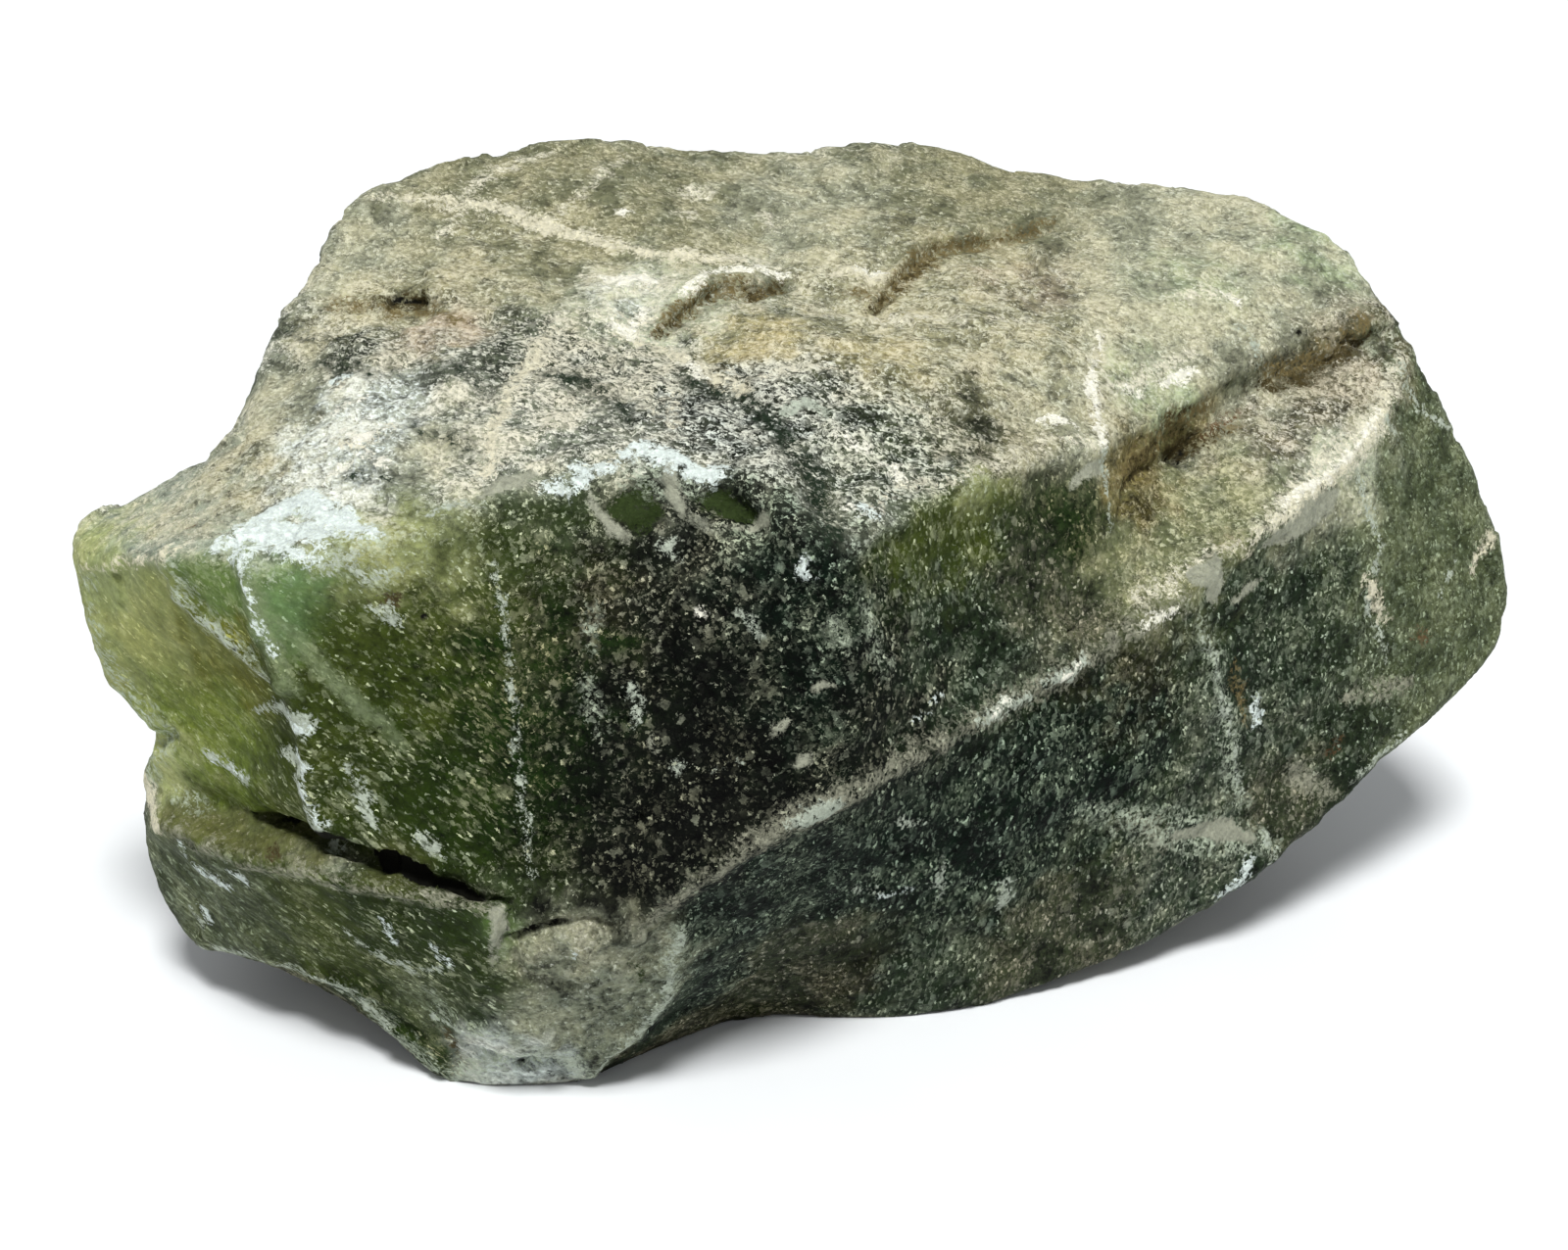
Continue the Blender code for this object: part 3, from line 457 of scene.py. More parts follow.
MARKS["frost"] = dict(
    bruise_patch=((262, 727, 1), (286, 722, 5), (307, 733, 10), (313, 750, 2)),
    bruise_patch_low=((290, 768, 4), (312, 776, 7), (309, 796, 5), (321, 818, 2), (330, 842, 4),
        (337, 860, 3)),
    tip_ridge_line=((178, 606, 0.5), (217, 634, 1.5), (246, 662, 2.5), (268, 683, 1.5), (291, 702, 0.5)),
    emerald_cloud_light=((332, 584, 2), (360, 570, 4), (372, 590, 2), (395, 584)),
    emerald_cloud_low=((376, 624, 2), (392, 628, 5), (405, 634, 4)),
    left_flake=((353, 782, 2), (366, 806, 4), (383, 843, 3)),
    left_flake_small=((430, 853, 4), (446, 869)),
    left_cluster=((208, 766, 2), (228, 778, 5), (246, 792, 6), (258, 798, 2)),
    block_flake=((360, 956, 2), (386, 973, 3), (426, 994, 2)),
    foot_edge_high=((180, 960, 2), (200, 965, 3), (262, 976, 2), (320, 993, 3), (350, 1004, 5)),
    foot_edge_white=((360, 1012, 3), (392, 1036, 4), (404, 1060, 5), (424, 1082, 4), (444, 1102)),
    foot_ridge_white=((448, 1040, 2), (476, 1050, 3), (500, 1060)),
    foot_low_white=((462, 1106, 3), (500, 1084), (540, 1074), (580, 1082, 5), (592, 1100, 4)),
    foot_right_white=((692, 950, 3), (678, 1016), (650, 1050), (612, 1082, 2), (596, 1106)),
    low_vein_light=((808, 840, 3), (826, 830, 8), (846, 818, 5), (858, 811, 1)),
    low_vein_white=((996, 732, 3), (1022, 722, 5), (1048, 712, 3)),
    low_vein_white_end=((1064, 698, 3), (1086, 684, 5), (1098, 674, 4)),
    chip_outline=((1262, 334, 2), (1272, 342, 1.5), (1281, 356, 2), (1282, 376, 1.5)),
    white_vein_low=((1123, 457, 3), (1127, 490, 2), (1129, 540, 1)),
    patch_under_chips=((672, 556, 2), (690, 560, 3)),
    front_streak=((505, 575, 0.5), (512, 620, 1.2), (522, 690, 0.5), (530, 790), (538, 860, 1.2),
        (548, 905, 0.5)),
    end_vein_a=((1429, 376, 2), (1443, 417), (1452, 423), (1478, 438, 1.5)),
    end_vein_b=((1382, 482, 2), (1396, 517), (1405, 549), (1402, 582)),
    end_vein_d=((1467, 602, 1.5), (1484, 576)),
    lower_flake_a=((961, 876, 2), (956, 893, 3.5), (958, 912, 1.5)),
    lower_flake_b=((1021, 899, 3), (1028, 913, 5), (1020, 926, 2.5)),
    lower_flake_d=((872, 906, 1.5), (897, 907, 2)),
    lower_flake_e=((914, 836, 2), (924, 842, 2.5), (944, 838, 2)),
    lower_streak_a=((1228, 650, 1), (1240, 700), (1258, 760, 1.5), (1268, 810, 1)),
    ledge_patch_end=((1290, 852, 3), (1298, 866), (1300, 884, 2)),
    ledge_flake=((318, 838, 3), (328, 848, 5), (334, 860, 3)),
    block_slants_a=((186, 866, 1.5), (200, 882, 2.5), (216, 898, 1.5)),
    block_slants_b=((232, 884, 1), (250, 898, 2)),
    block_slants_c=((196, 928, 2), (206, 944, 2.5)),
    block_slants_d=((352, 950, 1.5), (372, 966, 2.5), (400, 982, 1.5)),
    block_slants_e=((418, 982, 1), (436, 990, 2.5), (460, 984, 1.5)),
    lower_right_rim=((1378, 796, 2), (1402, 775, 3), (1434, 748, 1.5)),
    end_vein_e=((1392, 603, 1.5), (1411, 651, 2), (1413, 676, 1)),
    end_vein_f=((1400, 418, 1), (1412, 432, 2), (1425, 447, 1)),
    dark_line_a=((728, 781, 0.6), (752, 776, 0.8)),
    leaf_e=((641, 706, 2), (650, 718, 2.5), (646, 740, 1.5)),
    leaf_f=((754, 626, 1.5), (767, 634, 3), (775, 647, 2)),
    front_flake_b=((690, 792, 1), (698, 782, 2.5)),
    rim_leaf_small=((440, 526, 1), (470, 520, 3), (496, 524, 1)),
    hackle_white_b=((800, 420, 3), (822, 414, 5), (846, 424, 3)),
)
MARKS["cream"] = dict(
    tip_rim=((88, 578, 1), (120, 576), (172, 568, 1.5), (186, 564, 1)),
    notch_chip=((148, 762, 6), (143, 785, 5), (152, 812, 7), (160, 840, 6)),
    shelf_white=((1268, 566, 1), (1294, 532, 3), (1326, 508, 5), (1361, 484, 7), (1388, 448, 5),
        (1412, 404, 3)),
    step_light_right=((850, 286, 4), (881, 281, 6), (902, 284, 4)),
    top_ridge_light=((400, 198, 2), (452, 206, 3), (508, 214, 4), (540, 228, 5), (580, 240, 4), (618, 250),
        (660, 258), (700, 264, 5), (760, 272, 4)),
    top_vein_c_light=((566, 336, 2), (549, 358, 4), (536, 378), (518, 406, 2), (506, 440, 4), (497, 478)),
    top_vein_e=((631, 340, 3), (668, 357, 4), (704, 374), (740, 393), (768, 403, 2)),
    end_vein_c=((1393, 592, 3), (1405, 608), (1414, 629)),
    end_band=((1519, 549, 4), (1505, 582, 3)),
)
MARKS["milk"] = dict(
    low_vein_white_spots=((1012, 726, 1.5), (1024, 720, 2)),
    low_vein_spots=((1080, 690, 1.5), (1092, 678, 2)),
    crest_white_b=((1150, 398, 3), (1164, 402)),
    crest_white_c=((1188, 392, 2), (1202, 386, 5), (1216, 380, 3)),
    crest_white_e=((1246, 300, 4), (1262, 308, 3)),
    white_vein_light=((1121, 342, 1), (1117, 380, 2.5), (1114, 402, 3.5), (1117, 428, 4), (1121, 452, 2.5)),
    white_vein_side=((1062, 430, 2), (1080, 428, 4), (1096, 436, 2)),
    rim_specks=((914, 480, 4), (921, 492, 5)),
    # painted highlights on the lit lips of the steps
    step_lip_left_painted_highlight=((690, 304, 1), (706, 290, 3), (722, 280, 4), (745, 279), (777, 279), (802, 283, 2)),
    step_lip_right_painted_highlight=((878, 279, 3), (895, 277, 3.5), (905, 281, 2)),
    near_spots=((556, 450, 2), (564, 447)),
    cream_patch_light=((612, 284, 4), (636, 292, 7), (668, 286, 5)),
    cream_patch_b_light=((622, 330, 3), (645, 342, 4), (655, 316, 3)),
    dome_spot_c=((634, 220, 3), (642, 217)),
    shelf_white_ridge=((1296, 528, 0.5), (1330, 502, 3), (1360, 480, 4), (1384, 450, 3), (1402, 420, 1)),
    shelf_white_near=((1206, 612, 1), (1180, 630, 4), (1160, 634, 2)),
    front_flake_d=((714, 625, 1), (720, 626, 1.2)),
    shoulder_streak=((326, 431, 1), (346, 419, 2.5), (372, 407, 1)),
    shoulder_patch=((352, 440, 2), (372, 450, 6), (388, 444, 4)),
    shoulder_arc=((332, 500, 2), (344, 482, 3), (364, 471, 1)),
    shoulder_arc_end=((378, 470, 1.5), (390, 474, 3), (402, 478, 1)),
    hackle_white_a=((694, 374, 2), (708, 380, 3), (722, 388, 1)),
    hackle_white_c=((856, 446, 1), (872, 458, 2), (884, 462, 1)),
    hackle_white_d=((896, 474, 2), (908, 484, 4), (920, 490, 3)),
    hackle_white_e=((868, 522, 2), (884, 530, 3), (894, 524, 1)),
)
MARKS["chalk"] = dict(
    bruise_high=((234, 552, 2), (262, 536, 7), (285, 524, 10), (312, 512, 9), (330, 520, 8)),
    bruise_right=((318, 524, 6), (345, 532, 11), (366, 542, 8), (382, 548, 3)),
    bruise_left=((214, 566, 1), (228, 556, 4), (244, 558, 5)),
    bruise_low=((240, 570, 3), (262, 565, 6), (290, 566, 5), (318, 572, 4), (330, 560, 3)),
    bruise_run=((252, 572, 4), (257, 600, 2), (262, 618, 1), (270, 642), (284, 668, 0.5)),
    bruise_patch_light=((298, 726, 1.5), (310, 740, 3)),
    bruise_patch_edge=((304, 764, 1), (318, 778, 2), (312, 792, 1), (330, 838, 2)),
    left_cluster_light=((224, 776, 1), (244, 790, 3)),
    block_scratches=((185, 862, 2), (205, 886, 3), (234, 902, 2)),
    block_scratches_low=((235, 888, 2), (253, 901)),
    block_star=((393, 940, 2), (398, 950, 3.5), (402, 958, 1.5)),
    block_specks=((440, 965, 2), (457, 980, 3)),
    block_left_specks=((206, 928, 4), (212, 938, 3)),
    rim_specks_low=((880, 524, 4), (886, 530)),
    chip_white=((598, 484, 4), (623, 481, 3), (636, 471, 4), (655, 460, 6), (687, 473, 7), (708, 480, 5),
        (731, 486, 6)),
    chip_white_left=((560, 500, 3), (582, 497, 5), (600, 492, 3)),
    nose_blotch=((822, 573, 3), (826, 584, 4)),
    near_spots_low=((588, 480, 3), (596, 484, 2)),
    lower_flake_c=((902, 913, 1.2), (930, 907)),
    lower_streak_b=((1280, 716, 3), (1282, 736)),
    edge_flake=((1270, 875, 3), (1263, 896, 4), (1244, 912, 3)),
    dark_line_b=((932, 733, 0.6), (946, 722, 1), (956, 709, 0.6)),
    bruise_middle=((246, 546, 8), (275, 546, 12), (305, 546, 13), (335, 550, 9)),
    foot_spots=((585, 968, 1.5), (587, 968)),
    shoulder_teal=((342, 389, 1.5), (352, 386, 3), (362, 388, 1)),
)
# Black dots and dark cracks, and painted shade: the dark inside the undercut crack, in the pits on the shelf,
# in the hollow on top and in the foot's low step
MARKS["black_marks_and_painted_shade"] = dict(
    undercut=((255, 828, 1), (285, 836, 3), (316, 842, 4), (345, 858, 6), (386, 878, 8), (434, 900, 7),
        (490, 911, 4), (516, 920, 1)),
    foot_low_dark=((527, 1090, 1.2), (543, 1084, 2.2), (560, 1083, 1.2)),
    plate_crack=((521, 919, 1), (520, 940, 1.2), (514, 958, 1.5), (504, 976, 1)),
    plate_crack_top=((513, 960, 2), (530, 957, 2.2), (548, 950, 1.6), (572, 942), (592, 938, 1),
        (622, 944, 1.6)),
    plate_crack_low=((526, 960, 1.6), (526, 985, 1.4), (548, 998), (580, 1004, 1.2), (612, 1000, 1),
        (634, 986, 0.6)),
    chip_edge=((492, 924, 0.8), (492, 950), (500, 975)),
    front_crack=((458, 767, 1), (480, 771)),
    front_dot=((434, 630, 3),),
    tip_dot=((245, 660, 2),),
    top_dot=((1325, 339, 3),),
    top_dot_left=((455, 291, 2),),
    shelf_dot=((1343, 444, 2.5),),
    shelf_pits_dark=((1197, 466, 2.5), (1203, 470, 2), (1212, 448, 1)),
    hollow=((392, 306, 1.5), (404, 300, 2.5), (420, 302, 3), (434, 306, 1.5)),
    shelf_crack=((1158, 490, 0.8), (1140, 520, 1.2), (1128, 556, 1), (1114, 596, 0.4)),
    foot_cracks_a=((500, 1000, 0.6), (530, 1014, 1), (566, 1012, 0.6)),
    foot_cracks_d=((575, 1064, 0.6), (588, 1084, 1), (590, 1100, 0.6)),
)

# Forms sharper than the solid has: height and width of the slope beside them in millimetres, then the
# path as in the marks
FORMS = dict(
    front_rim=(0.28, 1.3, (250, 572, 1), (300, 566), (350, 556), (400, 548), (450, 535), (500, 520),
        (548, 508), (590, 497), (623, 482)),
    front_rim_right=(0.3, 1.3, (775, 505, 1), (800, 532), (830, 548), (870, 545), (905, 530), (965, 500),
        (1013, 478), (1064, 459), (1115, 458)),
    tip_rim=(0.25, 0.9, (88, 578, 1), (120, 576), (172, 571), (215, 572)),
    tip_ridge=(0.45, 1.2, (172, 575, 1), (184, 609), (217, 637, 2), (268, 679, 1), (291, 694)),
    front_edge=(0.55, 1.3, (253, 572, 1), (256, 615), (268, 648), (288, 686), (307, 733), (318, 775),
        (321, 820), (333, 853)),
    nose=(0.45, 2.2, (775, 450, 1), (800, 520), (828, 575), (848, 625), (868, 660), (885, 730)),
    vein_edge=(0.5, 1.5, (640, 948, 2), (678, 920), (720, 888), (784, 853), (831, 830), (895, 794),
        (965, 747), (1026, 718), (1083, 686), (1131, 651), (1208, 608), (1242, 575)),
    shelf_edge=(0.35, 1.3, (1246, 566, 1), (1306, 530), (1372, 470), (1422, 405), (1425, 370)),
    wall_top=(0.35, 1.0, (1115, 458, 1), (1150, 440), (1200, 408), (1250, 382), (1290, 372), (1340, 356),
        (1382, 340), (1410, 324)),
    ledge_edge=(0.4, 0.8, (170, 843, 1), (246, 877), (305, 888), (386, 910), (494, 918)),
    undercut=(-1.8, 0.4, (262, 832, 1), (285, 838, 3), (316, 845, 5), (345, 860, 6), (386, 880, 7),
        (434, 902), (490, 913, 4), (512, 919, 1)),
    notch=(-1.0, 0.8, (176, 752, 1), (160, 757, 3), (148, 762, 4)),
    block_side=(0.3, 1.0, (494, 921, 1), (495, 980), (477, 1045)),
    foot_left_edge=(0.35, 1.0, (320, 990, 1), (357, 1000), (400, 1018), (432, 1045), (456, 1080)),
    foot_right_edge=(0.45, 1.2, (697, 945, 1), (679, 1018), (649, 1053), (612, 1076), (592, 1104)),
    plate=(0.45, 0.35, (552, 968, 13), (590, 963, 17), (640, 957, 12), (600, 990, 10), (552, 968, 13)),
    plate_crack=(-0.8, 0.35, (521, 919, 0.5), (520, 940, 1.5), (514, 958, 2.5), (530, 957), (548, 950, 2),
        (572, 942), (592, 938, 1), (622, 944, 1.5)),
    foot_chip=(0.35, 0.3, (505, 932, 7), (508, 950, 9)),
    step_lip_left=(0.3, 0.8, (678, 330, 1), (700, 306), (722, 286, 2), (777, 281), (806, 284, 1)),
    step_foot_left=(-0.45, 0.6, (676, 345, 1), (697, 325, 2), (716, 306), (742, 292), (760, 304),
        (806, 293, 1)),
    step_lip_right=(0.3, 0.8, (860, 283, 1), (898, 284, 2), (906, 284, 1), (926, 262), (958, 243),
        (1024, 236), (1081, 223)),
    step_foot_right=(-0.45, 0.6, (896, 318, 1), (908, 300, 2), (930, 274), (960, 255), (1030, 247, 1),
        (1081, 232)),
    shelf_pit=(-0.5, 0.4, (1197, 466, 2), (1206, 460, 3), (1216, 448, 2)),
    wall_foot=(-0.5, 0.6, (1140, 530, 1), (1147, 497, 2), (1173, 480, 3), (1200, 468)),
    top_hollow=(-0.35, 0.5, (400, 304, 3), (430, 305, 4)),
    chip_left=(-0.4, 0.4, (655, 508, 9), (638, 522, 10), (656, 530, 9)),
    chip_right=(-0.5, 0.4, (714, 512, 3), (734, 511, 8), (752, 520, 7), (768, 530, 2)),
    chip_bridge=(0.3, 0.4, (690, 480, 2), (690, 505, 4), (704, 528, 3), (740, 537, 2)),
    plate_foot=(-0.5, 0.4, (526, 962, 1), (526, 985, 2), (548, 1000), (580, 1006), (612, 1002, 1)),
    foot_step_a=(0.5, 0.6, (470, 1044, 3), (500, 1050, 4), (540, 1048, 3), (566, 1062, 2)),
    foot_step_b=(-0.5, 0.5, (480, 1070, 1), (527, 1088, 2), (545, 1083, 3), (562, 1084, 2)),
    foot_step_c=(0.4, 0.5, (400, 1046, 2), (430, 1062, 3), (446, 1088)),
)


def linear(colour):
    """A colour of 0 to 255 steps, as the light values that a shader takes."""
    steps = np.array(colour, float) / 255.0
    return np.where(steps <= 0.04045, steps / 12.92, ((steps + 0.055) / 1.055) ** 2.4)


def add(name, data):
    """A new object in the scene with that mesh, lamp or camera."""
    thing = bpy.data.objects.new(name, data)
    bpy.context.scene.collection.objects.link(thing)
    return thing


def add_camera():
    """The camera where the photograph was taken from."""
    lens = bpy.data.cameras.new("camera")
    lens.lens = LENS
    lens.sensor_width = SENSOR
    lens.clip_start = MM
    camera = add("camera", lens)
    camera.location = EYE
    camera.rotation_euler = LEAN
    bpy.context.scene.camera = camera


class Sight:
    """Finds the place on the solid that a pixel of the photograph shows."""

    def __init__(self, solid):
        corners = [v.co.copy() for v in solid.data.vertices]
        self.tree = BVHTree.FromPolygons(corners, [tuple(p.vertices) for p in solid.data.polygons])
        self.turn = LEAN.to_matrix()
        self.focal = LENS / SENSOR * PHOTO_WIDTH

    def spot(self, across, down):
        right = (across - PHOTO_WIDTH / 2) / self.focal
        up = (PHOTO_HEIGHT / 2 - down) / self.focal
        ray = (self.turn @ Vector((right, up, -1.0))).normalized()
        place = self.tree.ray_cast(EYE, ray)[0]
        if place is None:
            place = self.tree.find_nearest(EYE + ray * EYE.length)[0]
        return np.array(place) / MM

    def along(self, stroke):
        """Places and half widths along a stroke, in millimetres."""
        path = []
        half = 0.0
        for across, down, *tenths in stroke:
            half = tenths[0] / 10.0 if tenths else half
            path.append((across, down, half))
        if len(path) == 1:
            path *= 2
        places = []
        widths = []
        for start, end in zip(path, path[1:]):
            steps = max(2, round(math.dist(start[:2], end[:2]) / STROKE_STEP))
            for step in range(steps + 1):
                across, down, half = (a + (b - a) * (step / steps) for a, b in zip(start, end))
                places.append(self.spot(across, down))
                widths.append(half)
        return np.array(places), np.array(widths)


def fine_copy(solid):
    """An even, fine mesh over the whole solid."""
    piece = add("stone_surface", solid.data.copy())
    even = piece.modifiers.new("even", "REMESH")
    even.mode = "VOXEL"
    even.voxel_size = CELL
    soft = piece.modifiers.new("soft", "SMOOTH")
    soft.factor = 0.5
    soft.iterations = SMOOTH_ROUNDS
    bpy.context.view_layer.update()
    graph = bpy.context.evaluated_depsgraph_get()
    mesh = bpy.data.meshes.new_from_object(piece.evaluated_get(graph))
    piece.modifiers.clear()
    piece.data = mesh
    return piece


def slabs(piece, count):
    """The piece cut from left to right into slabs with about as many faces each."""
    mesh = piece.data
    smooth = mesh.attributes.new("smooth", "FLOAT_VECTOR", "POINT")
    smooth.data.foreach_set("vector", read(mesh, "normal").astype(np.float32).ravel())
    across = np.array([face.center.x for face in mesh.polygons])
    limits = np.quantile(across, np.linspace(0.0, 1.0, count + 1))
    limits[-1] += 1.0
    pieces = []
    for number, (start, end) in enumerate(zip(limits, limits[1:])):
        part = bmesh.new()
        part.from_mesh(mesh)
        others = [face for face, x in zip(part.faces, across) if not start <= x < end]
        bmesh.ops.delete(part, geom=others, context="FACES")
        slab = bpy.data.meshes.new(f"{piece.name}_{number}")
        part.to_mesh(slab)
        part.free()
        normals = np.zeros(len(slab.vertices) * 3, np.float32)
        slab.attributes["smooth"].data.foreach_get("vector", normals)
        slab.attributes.remove(slab.attributes["smooth"])
        slab.shade_smooth()
        slab.normals_split_custom_set_from_vertices(normals.reshape(-1, 3))
        pieces.append(add(slab.name, slab))
    bpy.data.objects.remove(piece)
    return pieces


def ripples(points, size, seed, layers=3, gain=0.9):
    """Noise around zero, with waves of that size in millimetres."""
    shift = Vector((seed * 17.31, seed * -9.17, seed * 5.73))
    return np.array([noise.fractal(Vector(p) / size + shift, gain, 2.1, layers) for p in points])


def facets(points, size, seed):
    """Height of flat facets about that size, tilted at random and meeting in sharp edges, in millimetres."""
    shift = Vector((seed * 5.3, seed * -3.9, seed * 8.1))
    centres = np.zeros((len(points), 4, 3))
    for index, point in enumerate(points):
        centres[index] = noise.voronoi(Vector(point) / size + shift)[1]
    gaps = points[:, None] / size + np.array(shift) - centres
    hashed = np.sin(centres @ np.array((12.99, 78.23, 37.72))) * 4375.85
    tilt = np.stack([(hashed * factor) % 1.0 - 0.5 for factor in (1.0, 3.7, 7.3)], axis=2)
    planes = np.einsum("ijk,ijk->ij", gaps, tilt) - 0.35 * np.linalg.norm(gaps, axis=2)
    return planes.max(1) * size


def spread(values, edges, rounds):
    """The values, each averaged with its neighbours' that many times."""
    count = np.bincount(edges.ravel(), minlength=len(values)).astype(float)[:, None] + 1.0
    for _ in range(rounds):
        total = values.copy()
        np.add.at(total, edges[:, 0], values[edges[:, 1]])
        np.add.at(total, edges[:, 1], values[edges[:, 0]])
        values = total / count
    return values


def ease(low, high, values):
    """0 below low, 1 above high, and smooth between."""
    share = np.clip((values - low) / (high - low), 0.0, 1.0)
    return share * share * (3.0 - 2.0 * share)


def depth_in_stroke(points, places, widths):
    """How far inside a stroke each point is, in millimetres, and below zero outside it."""
    depth = np.full(len(points), -REACH)
    low = places.min(0) - widths.max() - REACH
    high = places.max(0) + widths.max() + REACH
    near = np.flatnonzero(((points > low) & (points < high)).all(1))
    for start in range(0, len(near), BATCH):
        part = near[start:start + BATCH]
        gap = np.linalg.norm(points[part, None] - places[None], axis=2)
        depth[part] = np.maximum(depth[part], (widths[None] - gap).max(1))
    return depth


def read(mesh, attribute):
    """Places or directions of all points of the mesh."""
    values = np.zeros(len(mesh.vertices) * 3, np.float32)
    mesh.vertices.foreach_get(attribute, values)
    return values.reshape(-1, 3).astype(float)


def store(mesh, name, values):
    """Keeps one number or one colour per point of the mesh, for the material to read."""
    if values.ndim == 1:
        layer = mesh.attributes.new(name, "FLOAT", "POINT")
        layer.data.foreach_set("value", values.astype(np.float32))
    else:
        layer = mesh.attributes.new(name, "FLOAT_COLOR", "POINT")
        four = np.ones((len(values), 4), np.float32)
        four[:, :3] = values
        layer.data.foreach_set("color", four.ravel())


def kinds_at(points, bent, broad, sight):
    """Each kind of surface in turn, with how much of it lies at each point."""
    # what lies where no zone reaches
    up = broad[:, 2]
    drift = ripples(points, size=14.0, seed=9)
    yield "crust", ease(0.25, 0.7, up) * 0.03
    yield "moss", ease(-0.5, 0.3, -np.abs(up - 0.1)) * (0.012 + 0.010 * drift).clip(0.0)
    yield "olive", ease(0.0, 0.6, 0.6 - np.abs(up)) * (0.012 - 0.010 * drift).clip(0.0)
    yield "umber", ease(0.2, 0.8, -up) * 0.012

    # the zones, each with a ragged edge, and only on faces that lean the same way
    zones = [(kind, sight.spot(*pixel), reach) for kind, *pixel, reach in GROUND.values()]
    zones += [(kind, np.array(place), reach) for kind, *place, reach in FAR_GROUND.values()]
    tree = KDTree(len(points))
    for index, point in enumerate(points):
        tree.insert(point, index)
    tree.balance()
    stir = [ripples(points, 2.4, seed, layers=4, gain=0.6) for seed in (31, 32, 33, 34)]
    for number, (kind, centre, reach) in enumerate(zones):
        gap = np.linalg.norm(bent - centre, axis=1)
        alike = np.clip(broad @ broad[tree.find(centre)[1]], 0.0, 1.0) ** 4
        yield kind, np.exp(2.4 * stir[number % 4] - (gap / reach) ** 2) * alike


def blend_kinds(count, shares):
    """Ground colour, fleck colour and the four traits at each point, blended from the kinds there."""
    total = np.full(count, 1e-6)
    blended = np.zeros((count, 10))
    for kind, share in shares:
        ground, fleck, *traits = KINDS[kind]
        total += share
        blended += share[:, None] * np.concatenate((linear(ground), linear(fleck), traits))
    return np.split(blended / total[:, None], (3, 6), axis=1)


def relief(points, warp, crest, up, rough, depths, sight):
    """Height above the plain surface in millimetres."""
    height = SWELL * ripples(points, size=3.2, seed=5) * (0.4 + rough)
    height += GRIT * ripples(points, size=1.3, seed=6, layers=4, gain=0.6) * (0.2 + rough)
    mild = (1.0 - 0.8 * ease(0.2, 0.8, np.abs(crest))) * (1.0 - 0.6 * ease(-0.1, 0.4, -up))
    height += LARGE_FACETS * (facets(points + warp * 0.3, size=4.2, seed=1) + 0.5) * (0.25 + rough) * mild
    height += SMALL_FACETS * (facets(points + warp * 0.2, size=1.7, seed=2) + 0.2) * (0.10 + rough) * mild
    height -= WEAR * ease(0.35, 0.9, crest) * ease(-0.1, 0.6, ripples(points, size=2.4, seed=8))
    for name, (*_, rise) in LAYERS.items():
        height += rise * ease(-0.4, 0.3, depths[name])
    for rise, slope, *stroke in FORMS.values():
        inside = depth_in_stroke(points + warp * 0.25, *sight.along(stroke))
        height += rise * np.clip(1.0 + inside / slope, 0.0, 1.0)
    return height


def dress(piece, sight):
    """Gives the fine mesh its relief and its marks."""
    mesh = piece.data
    points = read(mesh, "co") / MM
    facing = read(mesh, "normal")
    edges = np.zeros(len(mesh.edges) * 2, np.int32)
    mesh.edges.foreach_get("vertices", edges)
    edges = edges.reshape(-1, 2)
    broad = spread(facing, edges, 8)
    broad /= np.linalg.norm(broad, axis=1)[:, None]
    up = broad[:, 2]
    crest = np.einsum("ij,ij->i", facing, spread(points, edges, 6) - points)
    crest = np.clip(-crest / 0.25, -1.0, 1.0)
    warp = np.stack([ripples(points, 2.2, seed) for seed in (1, 2, 3)], axis=1)
    shares = kinds_at(points, points + warp * 1.2, broad, sight)
    ground, fleck, traits = blend_kinds(len(points), shares)
    rough = traits[:, 3]

    # how deep each point lies in the marks of each layer
    ragged = points + warp * 0.35
    depths = {}
    for name in LAYERS:
        strokes = MARKS[name].values()
        depths[name] = np.max([depth_in_stroke(ragged, *sight.along(stroke)) for stroke in strokes], axis=0)

    # the relief, along the surface's own direction, then the flat place that the stone rests on
    height = relief(points, warp, crest, up, rough, depths, sight)
    points += facing * (height * ease(0.15, 1.6, points[:, 2]))[:, None]
    points[(points[:, 2] < 0.25) & (up < -0.9), 2] = 0.0
    points[:, 2] = np.maximum(points[:, 2], 0.0)
    mesh.vertices.foreach_set("co", (points * MM).astype(np.float32).ravel())
    mesh.update()

    store(mesh, "ground", ground)
    store(mesh, "fleck", fleck)
    for name, trait in zip(("share", "gloss", "clear", "rough"), traits.T):
        store(mesh, name, trait)
    store(mesh, "patch", ripples(points, size=3.4, seed=11, layers=4, gain=0.7))
    for name, depth in depths.items():
        store(mesh, name, depth)
    # how much the flecks follow the steep grain at the right, the slanting grain at the left and the flat top
    x = points[:, 0]
    store(mesh, "steep", ease(-3.0, 6.0, x) * ease(-0.3, 0.3, 0.45 - up))
    store(mesh, "slant", ease(14.0, 26.0, -x) * ease(-0.2, 0.4, 0.5 - up))
    store(mesh, "flat", ease(0.35, 0.65, up) * ease(22.0, 28.0, points[:, 2]))
    mesh.shade_smooth()


